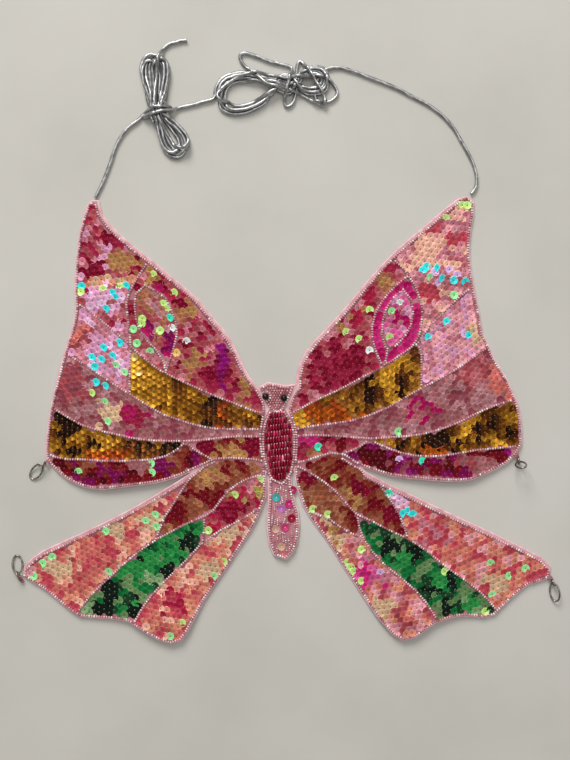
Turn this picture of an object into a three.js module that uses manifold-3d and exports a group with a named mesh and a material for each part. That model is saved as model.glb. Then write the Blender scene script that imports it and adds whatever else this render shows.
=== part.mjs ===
// Butterfly halter top: a sequinned and beaded butterfly of stitched cloth, laid flat, with a wire
// ring pair at each of its four lower corners and a silver neck cord tied up in two hanks.
// Millimetres, +Z up, the satin lining on the floor at z = 0, the wing tips towards +Y.
import * as THREE from "three";
import { mergeVertices } from "three/addons/utils/BufferGeometryUtils.js";
import Module from "manifold-3d";

const wasm = await Module();
wasm.setup();

// ---------------------------------------------------------------- driving dimensions
const LINING_THICKNESS = 0.6;
const CLOTH_THICKNESS = 0.5;
const SEQUIN_LAYER = 1.3; // height of the overlapping sequins above the ground cloth
const BEAD_DIAMETER = 1.5; // seed beads of the outlines
const LINING_MARGIN = 0.9; // lining left showing outside the border beads
const BINDING_EXTRA = 0.9; // more of it shows along the wings' leading edges
const GAP = 0.3; // clearance between neighbouring pieces
const BODY_BRIDGE = 2.5; // cloth under the body reaches this far under the wings' borders
const EYE_DIAMETER = 4.0;
const SMALL_RING_WIRE = 1.0;
const SMALL_RING_OUTSIDE = 5.4;
const LARGE_RING_WIRE = 1.1;
const LARGE_RING_LENGTH = 12.0;
const LARGE_RING_WIDTH = 7.0;
const RING_CLEARANCE = 0.3; // between the wires of two linked rings
const LASHING_WALL = 0.5; // thread wound around the small ring's wire
const LASHING_CLEARANCE = 0.45;
const LASHING_HEIGHT = 1.6;
const LASHING_TONGUE = [4.0, 1.8, 1.0]; // stitches lying over the corner: length, width, height
const TONGUE_CLEARANCE = 0.15; // stitches above the border beads they cross
// The underside of the winding above the ground cloth.
const LASHING_LIFT = BEAD_DIAMETER + TONGUE_CLEARANCE + LASHING_TONGUE[2] - LASHING_HEIGHT;
const CORD_DIAMETER = 2.2;
const HANK_HEIGHT = 9.0; // turns of cord lying on each other, and the wraps round them
const FLOOR_CLEARANCE = 0.05; // cord above the floor
const WIRE_SIDES = 8;
const RING_STEPS = 18;
const CORD_SIDES = 8;
const CORD_STEP = 7.5;
const LASHING_SIDES = 12;
const EYE_SIDES = 12;
const EYE_RINGS = 8;

const CLOTH_Z = LINING_THICKNESS;
const TOP_Z = LINING_THICKNESS + CLOTH_THICKNESS;
const BORDER_IN = LINING_MARGIN + BEAD_DIAMETER; // inner edge of the border bead line
const FIELD_IN = BORDER_IN + GAP;
const OUTLINE_STEP = 8;
const BAND_Z = -1; // cutting tools start below everything and end above it
const BAND_HEIGHT = 8;
const DISC_SIDES = 16;

// ---------------------------------------------------------------- outlines
// An outline is a list of smooth runs. Each run starts where the one before it ends, and the
// corners lie between the runs. The binding is widest along the leading run. A seam is one
// smooth line of beads. A panel is named with a point inside it.
const FOREWING_LEFT = {
  leadingRun: 0,
  outline: [
    [[-112, 132], [-110, 124], [-103.7, 115.6], [-91, 104.2], [-80.5, 96.2], [-67.5, 85.2],
      [-52.8, 72.7], [-43.5, 61.5], [-33.5, 49.3], [-27.2, 37.3], [-22.8, 27.7], [-17, 20]],
    [[-17, 20], [-15, 16], [-12.5, 11.5], [-11.5, 5.5]],
    [[-11.5, 5.5], [-13, -3], [-14, -11], [-13, -18], [-12, -26.5]],
    [[-12, -26.5], [-20, -25], [-29.5, -24.5], [-41, -24.5], [-48.5, -27.5], [-66, -35],
      [-77.5, -38], [-93.5, -40], [-109, -42], [-116.5, -41.5], [-127, -38.5], [-136, -32.5],
      [-141.5, -27]],
    [[-141.5, -27], [-144, -23]],
    [[-144, -23], [-144, -11], [-141.5, 6], [-137.5, 24], [-132, 44], [-128, 57], [-126.5, 67],
      [-127, 81.5], [-125.5, 102], [-123, 117], [-119.5, 128.5]],
    [[-119.5, 128.5], [-116.5, 132], [-112, 132]],
  ],
  seams: {
    tip: [[-82, 96], [-89.5, 84], [-94, 76], [-95.5, 68.5], [-94, 57], [-93, 44.5], [-93.5, 30],
      [-93.5, 15.5]],
    upper_ray: [[-130, 73.5], [-116.5, 64], [-105, 55], [-93, 44.5]],
    middle_ray: [[-135.5, 42], [-122, 34], [-110.5, 26.5], [-102.5, 21], [-93.5, 15.5]],
    gold_band_top: [[-93, 44], [-85, 37], [-77.5, 31], [-66, 25], [-55, 20], [-44, 15],
      [-29.5, 9.5], [-21.5, 6], [-11, 3.5]],
    gold_band_foot: [[-93.5, 15.5], [-84, 9.5], [-75, 4], [-65.5, 0.5], [-54, -3], [-44, -5],
      [-27.5, -5.5], [-12, -5.5]],
    pale_band_foot: [[-143.5, 9.5], [-134, 4], [-122, -3], [-110.5, -6.5], [-99.5, -9],
      [-88, -11.5], [-72, -12.5], [-60.5, -12.5], [-50, -12], [-33, -10], [-12.5, -10]],
    gold_hem_foot: [[-145, -19], [-135, -23], [-122, -23.5], [-105, -24.5], [-88, -24],
      [-77.5, -23], [-68.5, -20], [-59.5, -12.5]],
    root: [[-59.5, -13], [-54, -18.5], [-47.5, -21.5], [-39.5, -26.5]],
    leaf: [[-84.5, 80.5], [-90, 75], [-90.5, 68.5], [-89.5, 59.5], [-86.5, 51.5], [-80.5, 44.5],
      [-75, 39], [-72, 29], [-68, 41], [-65.5, 49], [-65.5, 56.5], [-68, 64], [-71.5, 72],
      [-77.5, 77], [-84.5, 80.5]],
  },
  panels: {
    tip: [-112, 102], inner: [-40, 35], leaf: [-78, 60], ray: [-110, 45], gold_band: [-75, 18],
    pale_band: [-110, 8], gold_hem: [-110, -16], root: [-37, -17], hem: [-95, -32],
  },
};

const FOREWING_RIGHT = {
  leadingRun: 0,
  outline: [
    [[102.5, 132.5], [93, 125], [85, 118], [76, 110.5], [65.5, 101.5], [54, 89.5], [44.5, 78.5],
      [35, 67], [25, 56], [15.5, 46], [10, 38.5], [6.5, 29], [6, 19]],
    [[6, 19], [4, 15.5], [2, 11], [0.5, 5.5]],
    [[0.5, 5.5], [3.5, -3], [5, -12], [4.5, -19], [4, -27.5]],
    [[4, -27.5], [16, -25], [23, -22], [33, -21.5], [39.5, -26], [51.5, -30.5], [63, -34],
      [81, -36], [96, -37], [110, -36.5], [122, -31.5], [131.5, -27], [138.2, -21.3]],
    [[138.2, -21.3], [141.7, -14.5]],
    [[141.7, -14.5], [141.5, -3.5], [140, 7], [135.5, 18.5], [131, 27.5], [126, 35.5],
      [122, 44.5], [118, 53], [116.5, 64], [114, 75], [111.5, 89], [110.5, 102], [111, 112],
      [113, 124], [113, 131]],
    [[113, 131], [109, 134.4], [102.5, 132.5]],
  ],
  seams: {
    tip: [[61, 98], [68.5, 92.5], [73, 86.5]],
    upper_ray: [[79, 46], [84, 53.5], [89, 59.5], [94, 64], [101, 71], [107.5, 77], [115, 80.5]],
    gold_band_end: [[79, 46], [81, 39.5], [81, 30], [81, 19]],
    middle_ray: [[81, 19], [90.5, 24], [102, 30.5], [113, 38], [124, 46]],
    gold_band_top: [[0, 3], [8.5, 6.5], [16, 11], [25, 15], [35.5, 20], [41, 23], [50, 28],
      [59.5, 32.5], [67, 38], [79, 46]],
    gold_band_foot: [[2.5, -6.5], [13, -4], [25, -2.5], [41, 0], [51.5, 3.5], [63, 8.5],
      [72, 14], [81, 19]],
    pale_band_foot: [[3.5, -10], [13, -9], [29.5, -9.5], [51.5, -11], [65.5, -10], [78.5, -9],
      [90.5, -6], [102, -2], [113, 3.5], [124, 8.5], [141, 13.5]],
    gold_hem_foot: [[48.5, -11], [59, -16], [67, -19], [76, -21], [89.5, -21.5], [102, -20],
      [113, -18], [124, -17], [144, -15]],
    root: [[19, -24.5], [24, -21.5], [32, -20], [41.5, -17.5], [50, -11.5]],
    leaf: [[73, 86.5], [67, 81.5], [61, 75.5], [55, 67], [52, 59], [51.5, 50.5], [53.5, 42],
      [59, 32], [67, 38], [74.5, 43], [79, 49], [81, 57], [81.5, 66], [80, 73], [77, 80.5],
      [73, 86.5]],
    leaf_heart: [[70, 78], [64, 73], [59.5, 65.5], [57.5, 56.5], [58, 48], [61, 42], [68.5, 47],
      [73, 53], [75.5, 59.5], [76, 66.5], [74, 74], [70, 78]],
    leaf_stem: [[61, 43], [59, 33]],
  },
  panels: {
    tip: [95, 100], inner: [30, 35], leaf: [78.5, 62], leaf_heart: [66, 60], ray: [100, 50],
    gold_band: [65, 22], pale_band: [95, 12], gold_hem: [110, -6], root: [28, -15],
    hem: [95, -29],
  },
};

const HINDWING_LEFT = {
  leadingRun: 1,
  outline: [
    [[-12, -23], [-27.5, -21], [-38.5, -21.5], [-51.5, -27.5]],
    [[-51.5, -27.5], [-61, -34], [-72, -40.8], [-88, -50.3], [-105, -59.3], [-122, -67.3],
      [-138.5, -74.8], [-149.5, -80.3], [-157, -87.5]],
    [[-157, -87.5], [-158, -93.5]],
    [[-158, -93.5], [-152.5, -97.4], [-146.5, -101], [-138, -107.5], [-131.5, -113.2],
      [-124, -118.2]],
    [[-124, -118.2], [-115, -119], [-105, -119.5], [-94, -121], [-87, -126], [-77.5, -131],
      [-71.5, -134], [-65.5, -134], [-61, -131], [-58, -126]],
    [[-58, -126], [-48.8, -109], [-42.2, -99], [-34.2, -87.6], [-26.4, -75.6], [-19.8, -65.4],
      [-14.6, -54], [-11.6, -46.5]],
    [[-11.6, -46.5], [-11.5, -39], [-12, -23]],
  ],
  seams: {
    shoulder: [[-50, -26], [-60.5, -39], [-66, -48], [-72, -57], [-78, -71.5]],
    green_top: [[-126, -116.5], [-116.5, -104.5], [-105, -93.5], [-94, -83.5], [-83, -75],
      [-72, -68.5], [-60.5, -62.5], [-49, -57.5]],
    green_foot: [[-92.5, -124], [-83, -108], [-75, -99], [-66, -90], [-57.5, -81.5], [-50, -73]],
    green_end: [[-49, -57.5], [-49, -65.5], [-50, -73]],
    upper_root: [[-49, -58], [-44.5, -55], [-39.5, -48.5], [-34, -42], [-27, -37],
      [-18.5, -33.5], [-9.5, -33.5]],
    lower_root: [[-50, -74], [-41, -67], [-29.5, -61], [-21, -56], [-9.5, -47]],
  },
  panels: {
    outer: [-120, -85], shoulder: [-55, -45], green: [-80, -92], root: [-32, -52],
    lower: [-60, -105],
  },
};

const HINDWING_RIGHT = {
  leadingRun: 1,
  outline: [
    [[4, -23], [16, -21], [26.5, -18.5], [39.5, -22], [48, -31]],
    [[48, -31], [59.4, -37.2], [68.4, -41.4], [81, -47.4], [96, -54.6], [112.8, -62.4],
      [129.6, -70.2], [144, -77.4], [154.2, -82.8], [159, -88.2]],
    [[159, -88.2], [158, -95]],
    [[158, -95], [153, -97], [146.5, -98.5], [140, -103], [132.5, -110], [125, -117.5]],
    [[125, -117.5], [116.5, -119], [107.5, -117.5], [96, -119.5], [88, -122.5], [81, -128],
      [75, -131.5], [69, -132], [64, -129], [59, -123.5], [54, -117.5]],
    [[54, -117.5], [46.6, -107], [40, -97], [34.4, -89], [28.4, -79], [22.4, -70], [16.4, -62],
      [10.6, -53], [7.2, -44]],
    [[7.2, -44], [5, -35], [4, -23]],
  ],
  seams: {
    shoulder: [[29.5, -19], [44.5, -29.5], [54, -37], [62, -47], [68.5, -58], [73, -71]],
    green_top: [[42.5, -56.5], [51.5, -60.5], [63, -66.5], [74, -71.5], [85, -79], [96, -88],
      [107.5, -96], [118, -104.5], [127, -115]],
    green_foot: [[42.5, -56.5], [45, -68], [51.5, -78.5], [59.5, -87], [72, -97], [83, -108],
      [92.5, -123]],
    upper_root: [[5, -26.5], [18.5, -34], [29.5, -42.5], [37, -51], [42.5, -56.5]],
    lower_root: [[11.5, -54.5], [20.5, -57], [28, -60.5], [36, -66.5], [46, -70]],
  },
  panels: {
    outer: [110, -80], shoulder: [42, -42], green: [75, -85], root: [20, -47],
    lower: [55, -105],
  },
};

const HEAD = [
  [[-15.5, 19.6], [-12, 21.4], [-8.5, 22.4], [-3.5, 20.2], [5, 20.6]],
  [[5, 20.6], [2.5, 14.5], [0, 9], [-2, 5.5]],
  [[-2, 5.5], [-5.5, 4.5], [-8.5, 5.5]],
  [[-8.5, 5.5], [-11, 8.5], [-13, 13], [-15.5, 19.6]],
];
const BODY = [
  [[-8.5, 4], [-5.5, 3.5], [-2, 4]],
  [[-2, 4], [2, -2.5], [4, -12], [3.5, -19], [3, -25], [1, -32.5], [-2.5, -37]],
  [[-2.5, -37], [-5.5, -37], [-9, -31], [-11.5, -24.5], [-12, -18], [-12.5, -11], [-11.5, -3],
    [-8.5, 4]],
];
const TAIL = [
  [[-10, -35], [-10, -48], [-11, -60], [-9.5, -74.5], [-7, -80.5], [-3, -83.5], [2, -82],
    [5, -77.5], [7, -69], [7.5, -60], [6.5, -53], [4, -46], [3, -39.5], [2.5, -32.5]],
  [[2.5, -32.5], [-10, -35]],
];
const EYES = { eye_left: [-12.3, 14.1], eye_right: [-1.2, 13.2] };

// The four corner fittings: where the small ring is lashed, the way it points, and the way the
// large ring lies in it (heading, dip towards the floor and roll about its own length), degrees.
const FITTINGS = {
  forewing_left: { at: [-143.5, -25.5], heading: 206, ring: { heading: 231, dip: 9.5, roll: 0 } },
  forewing_right: { at: [138.2, -22.3], heading: -75, ring: { heading: -75, dip: -75, roll: 0 } },
  hindwing_left: { at: [-158.9, -94.3], heading: 120, ring: { heading: 95, dip: 9.5, roll: 0 } },
  hindwing_right: { at: [158.5, -95.1], heading: -60, ring: { heading: -82, dip: 0, roll: 35 } },
};

// Cord routes and the outer shapes of the two hanks, seen from above.
const CORD_ROUTES = {
  neck_cord_left: [[-114.2, 133.1], [-108.6, 145.2], [-103.8, 158.4], [-100.8, 166.8],
    [-95.4, 174.6], [-88.8, 179], [-84.4, 181.8]],
  neck_cord_middle: [[-69.8, 185.8], [-55.8, 189], [-43.2, 192.3]],
  neck_cord_right: [[27.2, 211.2], [35.4, 210.3], [48.6, 205.8], [64.2, 199.8], [76.8, 193.2],
    [88.8, 186.6], [99, 177], [106.2, 165], [112.2, 153.6], [114.6, 143.4], [113.6, 138.6],
    [110.9, 135.4]],
  lacing_cord_end: [[-75.4, 221.6], [-72.6, 223.6], [-69, 225.6], [-64.2, 227], [-59.4, 227.4]],
  neck_cord_loop: [[-22.2, 210.9], [-27, 214.8], [-28.8, 218.4], [-26.4, 220.2], [-19.2, 217.2],
    [-9.6, 213], [-1.8, 210.9]],
};
const HANKS = {
  lacing_hank: [[-88.2, 212.4], [-85.8, 219], [-79.2, 220.8], [-71.4, 218.4], [-69.6, 208.8],
    [-72.6, 192], [-70.8, 184.8], [-68.4, 180], [-60.6, 172.8], [-55.8, 163.2], [-61.2, 157.8],
    [-68.4, 157.8], [-74.4, 160.8], [-78, 168], [-78, 175.2], [-80.4, 181.2], [-83.4, 186],
    [-82.8, 192], [-86.4, 202.8]],
  neck_hank: [[-42, 193], [-38.4, 199.2], [-32.4, 205.2], [-21.6, 209.4], [1.8, 209.4],
    [14.4, 211.2], [22.5, 212.2], [27.5, 204], [31.2, 196.8], [28.8, 191.4], [21.6, 189.6],
    [14.4, 193.2], [1.8, 192], [-9.6, 188.4], [-20.4, 184.2], [-28.8, 184.2], [-36, 188.4]],
};

// ---------------------------------------------------------------- shared geometry helpers
// A smooth line through points, in even steps.
function smoothLine(points, closed = false) {
  const through = points.map(([x, y]) => new THREE.Vector3(x, y, 0));
  if (points.length < 3) return through.map((p) => [p.x, p.y]);
  if (closed && through[0].distanceTo(through.at(-1)) < GAP) through.pop();
  const curve = new THREE.CatmullRomCurve3(through, closed, "centripetal");
  const steps = Math.max(Math.ceil(curve.getLength() / OUTLINE_STEP), through.length - 1);
  const line = curve.getSpacedPoints(steps).map((p) => [p.x, p.y]);
  if (closed) line.pop();
  return line;
}

// The closed outline made of smooth runs that meet at corners, running anticlockwise.
function closedOutline(runs) {
  const line = runs.flatMap((run) => smoothLine(run).slice(0, -1));
  const flat = line.map(([x, y]) => new THREE.Vector2(x, y));
  return THREE.ShapeUtils.area(flat) > 0 ? line : line.reverse();
}

// The line moved sideways: to its left for a positive distance, mitred at its bends.
function moveSideways(line, distance, closed) {
  const count = line.length;
  const way = (i, j) => new THREE.Vector2(line[j][0] - line[i][0], line[j][1] - line[i][1]).normalize();
  return line.map(([x, y], i) => {
    const before = closed || i > 0 ? way((i + count - 1) % count, i) : way(i, i + 1);
    const after = closed || i < count - 1 ? way(i, (i + 1) % count) : before;
    const scale = distance / Math.max(1 + before.dot(after), 0.5);
    return [x - (before.y + after.y) * scale, y + (before.x + after.x) * scale];
  });
}

function shapeOf(line) {
  return new THREE.Shape(line.map(([x, y]) => new THREE.Vector2(x, y)));
}

function slab(shape, z, height) {
  const geometry = new THREE.ExtrudeGeometry(shape, { depth: height, bevelEnabled: false });
  return geometry.translate(0, 0, z);
}

function toSolid(geometry) {
  const bare = geometry.clone();
  bare.deleteAttribute("normal");
  bare.deleteAttribute("uv");
  const merged = mergeVertices(bare, 1e-4);
  const vertProperties = new Float32Array(merged.attributes.position.array);
  const triVerts = new Uint32Array(merged.index.array);
  return new wasm.Manifold(new wasm.Mesh({ numProp: 3, vertProperties, triVerts }));
}

function toGeometry(solid) {
  const { vertProperties, triVerts } = solid.getMesh();
  const geometry = new THREE.BufferGeometry();
  geometry.setAttribute("position", new THREE.BufferAttribute(vertProperties, 3));
  geometry.setIndex([...triVerts]);
  geometry.computeVertexNormals();
  return geometry;
}

const regionSolid = (line, z, height) => toSolid(slab(shapeOf(line), z, height));
const joined = (solids) => solids.reduce((whole, solid) => whole.add(solid));
const cutBy = (solid, tools) => tools.reduce((rest, tool) => rest.subtract(tool), solid);

// A strip of the given width along a seam: a band with a hole where the seam closes on itself.
function seamStrip(points, width, z, height) {
  const [first, last] = [points[0], points.at(-1)];
  const closed = Math.hypot(first[0] - last[0], first[1] - last[1]) < GAP;
  let line = smoothLine(points, closed);
  if (closed) {
    const turn = THREE.ShapeUtils.area(line.map(([x, y]) => new THREE.Vector2(x, y)));
    if (turn < 0) line = line.reverse();
    const outside = regionSolid(moveSideways(line, -width / 2, true), z, height);
    return outside.subtract(regionSolid(moveSideways(line, width / 2, true), z, height));
  }
  const left = moveSideways(line, width / 2, false);
  const right = moveSideways(line, -width / 2, false);
  return regionSolid([...right, ...left.reverse()], z, height);
}

// The band within a distance of a wing's outline, and farther in along its leading run: a strip
// along each run and a disc at each corner.
function edgeBand({ outline, leadingRun }, distance) {
  const strips = outline.map((run, i) => {
    const reach = distance + (i === leadingRun ? BINDING_EXTRA : 0);
    return seamStrip(run, 2 * reach, BAND_Z, BAND_HEIGHT);
  });
  const discs = outline.map(([[x, y]]) => {
    const disc = new THREE.CylinderGeometry(distance, distance, BAND_HEIGHT, DISC_SIDES);
    return toSolid(disc.rotateX(Math.PI / 2).translate(x, y, BAND_Z + BAND_HEIGHT / 2));
  });
  return joined([...strips, ...discs]);
}

// True where the point lies under a face of the solid that looks up.
function covers(solid, [x, y]) {
  const { vertProperties: v, triVerts: t } = solid.getMesh();
  for (let i = 0; i < t.length; i += 3) {
    const [a, b, c] = [t[i] * 3, t[i + 1] * 3, t[i + 2] * 3];
    const side = (p, q) => (v[q] - v[p]) * (y - v[p + 1]) - (v[q + 1] - v[p + 1]) * (x - v[p]);
    if (side(a, b) > 0 && side(b, c) > 0 && side(c, a) > 0) return true;
  }
  return false;
}

const largest = (solid) => solid.decompose().sort((a, b) => b.volume() - a.volume())[0];

// ---------------------------------------------------------------- materials
const finish = (color, roughness, metalness = 0) =>
  new THREE.MeshStandardMaterial({ color, roughness, metalness });
const COLOURS = {
  pink: () => finish("#c9506a", 0.3), pale: () => finish("#d59bb4", 0.3),
  coral: () => finish("#d66f72", 0.3), crimson: () => finish("#a3264e", 0.3),
  gold: () => finish("#a8741a", 0.25, 0.8), green: () => finish("#1d7f45", 0.3),
};
const PANEL_COLOURS = {
  gold_band: "gold", gold_hem: "gold", green: "green", pale_band: "pale", ray: "pale",
  hem: "crimson", outer: "coral", lower: "coral",
};

const model = new THREE.Group();

function addMesh(name, geometry, material, parent = model) {
  const mesh = new THREE.Mesh(geometry, material);
  mesh.name = name;
  parent.add(mesh);
  return mesh;
}

// ---------------------------------------------------------------- the cloth and what is sewn on it
const WINGS = {
  forewing_left: FOREWING_LEFT,
  forewing_right: FOREWING_RIGHT,
  hindwing_left: HINDWING_LEFT,
  hindwing_right: HINDWING_RIGHT,
};
const outlines = Object.fromEntries(
  Object.entries(WINGS).map(([name, wing]) => [name, closedOutline(wing.outline)]),
);
const middleOutlines = { head: closedOutline(HEAD), body: closedOutline(BODY), tail: closedOutline(TAIL) };

function addBacking(name, inset, z, height, material) {
  const wings = Object.entries(WINGS).map(([wing, shape]) => {
    const whole = regionSolid(outlines[wing], z, height);
    return inset > 0 ? whole.subtract(edgeBand(shape, inset)) : whole;
  });
  const { head, body, tail } = middleOutlines;
  const margin = LINING_MARGIN - inset;
  const middle = [[head, margin], [tail, margin], [body, BODY_BRIDGE]].map(([line, outwards]) =>
    regionSolid(moveSideways(line, -outwards, true), z, height));
  addMesh(name, toGeometry(largest(joined([...wings, ...middle]))), material);
}

const grown = (line) => regionSolid(moveSideways(line, -GAP, true), TOP_Z, EYE_DIAMETER);

function addWing(name, wing, keepOff) {
  const line = outlines[name];
  const beadSpace = BEAD_DIAMETER + 2 * GAP;
  const seams = Object.values(wing.seams);
  const strips = (width, height) => seams.map((seam) => seamStrip(seam, width, TOP_Z, height));

  const field = regionSolid(line, TOP_Z, SEQUIN_LAYER).subtract(edgeBand(wing, FIELD_IN));
  const cutField = cutBy(field, [...strips(beadSpace, EYE_DIAMETER), ...keepOff]);
  const pieces = cutField.decompose();
  for (const [panel, point] of Object.entries(wing.panels)) {
    const colour = COLOURS[PANEL_COLOURS[panel] ?? "pink"]();
    const piece = pieces.find((solid) => covers(solid, point));
    addMesh(`${name}_${panel}_sequins`, toGeometry(piece), colour);
  }

  const whole = regionSolid(line, TOP_Z, BEAD_DIAMETER);
  const inside = whole.subtract(edgeBand(wing, LINING_MARGIN));
  const border = inside.intersect(edgeBand(wing, BORDER_IN));
  const sewn = joined(strips(BEAD_DIAMETER, BEAD_DIAMETER)).intersect(inside);
  const beads = cutBy(border.add(sewn), keepOff);
  addMesh(`${name}_bead_lines`, toGeometry(largest(beads)), finish("#e3b4c0", 0.2));
}

function addMiddle() {
  const { head, body, tail } = middleOutlines;
  const headSolid = regionSolid(head, TOP_Z, BEAD_DIAMETER);
  const eyeSeats = Object.values(EYES).map(([x, y]) => {
    const radius = EYE_DIAMETER / 2 + GAP;
    const seat = new THREE.CylinderGeometry(radius, radius, 2 * BEAD_DIAMETER + GAP, DISC_SIDES);
    return toSolid(seat.rotateX(Math.PI / 2).translate(x, y, TOP_Z));
  });
  addMesh("head_beads", toGeometry(cutBy(headSolid, eyeSeats)), finish("#cf8f93", 0.35));
  const bodySolid = cutBy(regionSolid(body, TOP_Z, BEAD_DIAMETER), [grown(head)]);
  addMesh("body_beads", toGeometry(bodySolid), finish("#a50f46", 0.25));
  const tailSolid = cutBy(regionSolid(tail, TOP_Z, BEAD_DIAMETER), [grown(body)]);
  addMesh("tail_beads", toGeometry(largest(tailSolid)), finish("#dfa3a8", 0.3));
  for (const [name, [x, y]] of Object.entries(EYES)) {
    const bead = new THREE.SphereGeometry(EYE_DIAMETER / 2, EYE_SIDES, EYE_RINGS);
    const z = TOP_Z + EYE_DIAMETER / 2;
    addMesh(name, bead.rotateX(Math.PI / 2), finish("#0b0b0d", 0.1)).position.set(x, y, z);
  }
}

// ---------------------------------------------------------------- rings at the corners
function ovalRing(length, width, wire) {
  const geometry = new THREE.TorusGeometry((width - wire) / 2, wire / 2, WIRE_SIDES, RING_STEPS);
  geometry.rotateZ(Math.PI / RING_STEPS); // no wire section stands on the long sides' middle
  const position = geometry.attributes.position;
  const stretch = (length - width) / 2;
  for (let i = 0; i < position.count; i += 1) {
    const x = position.getX(i);
    position.setX(i, x + Math.sign(x) * stretch);
  }
  return geometry;
}

function addFitting(name, { at, heading, ring }) {
  const smallRadius = (SMALL_RING_OUTSIDE - SMALL_RING_WIRE) / 2;
  const level = TOP_Z + LASHING_LIFT + LASHING_HEIGHT / 2;
  const degrees = THREE.MathUtils.degToRad;
  const metal = () => finish("#8d8a84", 0.3, 1);

  const fitting = new THREE.Group();
  fitting.position.set(at[0], at[1], level);
  fitting.rotation.z = degrees(heading);
  model.add(fitting);

  const smallRing = new THREE.TorusGeometry(smallRadius, SMALL_RING_WIRE / 2, WIRE_SIDES, RING_STEPS);
  smallRing.rotateX(Math.PI / 2).translate(smallRadius, 0, 0);
  addMesh(`${name}_small_ring`, smallRing, metal(), fitting);

  const hole = SMALL_RING_WIRE / 2 + LASHING_CLEARANCE;
  const half = LASHING_HEIGHT / 2;
  const profile = [[hole, -half], [hole + LASHING_WALL, -half], [hole + LASHING_WALL, half],
    [hole, half], [hole, -half]].map(([r, z]) => new THREE.Vector2(r, z));
  const winding = toSolid(new THREE.LatheGeometry(profile, LASHING_SIDES).rotateX(Math.PI / 2));
  const [length, width, height] = LASHING_TONGUE;
  const tongue = new THREE.BoxGeometry(length, width, height);
  tongue.translate(-hole - LASHING_WALL / 2 - length / 2, 0, half - height / 2);
  const lashing = winding.add(toSolid(tongue));
  addMesh(`${name}_lashing`, toGeometry(lashing), finish("#b89aa0", 0.8), fitting);

  // The large ring's wire sits low in the small ring's hole, away from the lashing.
  const slack = smallRadius - (SMALL_RING_WIRE + LARGE_RING_WIRE) / 2 - RING_CLEARANCE;
  const link = smallRadius + slack / Math.SQRT2;
  const largeRing = ovalRing(LARGE_RING_LENGTH, LARGE_RING_WIDTH, LARGE_RING_WIRE);
  largeRing.translate((LARGE_RING_LENGTH - LARGE_RING_WIRE) / 2, 0, 0);
  largeRing.rotateX(degrees(ring.roll)).rotateY(degrees(ring.dip));
  largeRing.rotateZ(degrees(ring.heading - heading));
  const mesh = addMesh(`${name}_large_ring`, largeRing, metal(), fitting);
  mesh.position.set(link, 0, -slack / Math.SQRT2);
}

// ---------------------------------------------------------------- cords
function addCord(name, route) {
  const level = CORD_DIAMETER / 2 + FLOOR_CLEARANCE;
  const points = route.map(([x, y]) => new THREE.Vector3(x, y, level));
  const path = new THREE.CatmullRomCurve3(points, false, "centripetal");
  const steps = Math.ceil(path.getLength() / CORD_STEP) + 1;
  const section = new THREE.Shape();
  for (let i = 0; i < CORD_SIDES; i += 1) {
    const angle = ((i + 0.5) * 2 * Math.PI) / CORD_SIDES;
    const [x, y] = [Math.cos(angle), Math.sin(angle)].map((v) => (v * CORD_DIAMETER) / 2);
    if (i === 0) section.moveTo(x, y);
    else section.lineTo(x, y);
  }
  section.closePath();
  const geometry = new THREE.ExtrudeGeometry(section, { steps, extrudePath: path, bevelEnabled: false });
  addMesh(name, geometry, finish("#9a9a9c", 0.35, 0.6));
}

function addHank(name, points) {
  const line = smoothLine(points, true);
  addMesh(name, slab(shapeOf(line), FLOOR_CLEARANCE, HANK_HEIGHT), finish("#9a9a9c", 0.35, 0.6));
}

// ---------------------------------------------------------------- assembly
addBacking("satin_lining", 0, 0, LINING_THICKNESS, finish("#e9b7c3", 0.4));
addBacking("ground_cloth", LINING_MARGIN, CLOTH_Z, CLOTH_THICKNESS, finish("#dba6ae", 0.8));
const middleGrown = Object.values(middleOutlines).map(grown);
const forewingsGrown = [outlines.forewing_left, outlines.forewing_right].map(grown);
for (const [name, wing] of Object.entries(WINGS)) {
  const underForewing = name.startsWith("hindwing") ? forewingsGrown : [];
  addWing(name, wing, [...middleGrown, ...underForewing]);
}
addMiddle();
for (const [name, fitting] of Object.entries(FITTINGS)) addFitting(name, fitting);
for (const [name, route] of Object.entries(CORD_ROUTES)) addCord(name, route);
for (const [name, points] of Object.entries(HANKS)) addHank(name, points);

export default model;
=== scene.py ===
"""Butterfly halter top, laid out flat: sequinned and beaded cloth wings, wire rings at the lower
corners, and a silver neck cord tied up in two hanks. Metres, +Z up, wing tips towards +Y."""

import math

import bpy
import numpy as np
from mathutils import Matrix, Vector
from mathutils.geometry import delaunay_2d_cdt


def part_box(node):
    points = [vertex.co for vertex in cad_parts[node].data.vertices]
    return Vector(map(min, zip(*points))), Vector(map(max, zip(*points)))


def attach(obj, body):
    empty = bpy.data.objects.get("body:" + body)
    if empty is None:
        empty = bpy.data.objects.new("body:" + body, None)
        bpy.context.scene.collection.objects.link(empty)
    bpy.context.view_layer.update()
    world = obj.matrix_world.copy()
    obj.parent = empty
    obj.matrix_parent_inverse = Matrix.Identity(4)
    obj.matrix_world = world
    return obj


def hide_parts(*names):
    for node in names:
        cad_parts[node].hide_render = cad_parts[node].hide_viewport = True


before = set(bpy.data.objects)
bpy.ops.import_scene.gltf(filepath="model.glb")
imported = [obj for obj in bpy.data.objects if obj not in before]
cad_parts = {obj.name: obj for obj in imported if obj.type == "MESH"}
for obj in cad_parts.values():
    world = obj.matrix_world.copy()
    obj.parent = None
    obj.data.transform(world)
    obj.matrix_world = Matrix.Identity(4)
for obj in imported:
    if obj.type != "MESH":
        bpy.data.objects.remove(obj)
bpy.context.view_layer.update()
MM = 0.001

# ---------------------------------------------------------------- camera
# Straight above the laid-out piece, a little over arm's length away, its top edge beyond the
# cord's two hanks.
VIEW_CENTRE = (-0.0006, 0.024)
VIEW_HEIGHT = 0.65
VIEW_LONG_SIDE = 0.456

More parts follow.
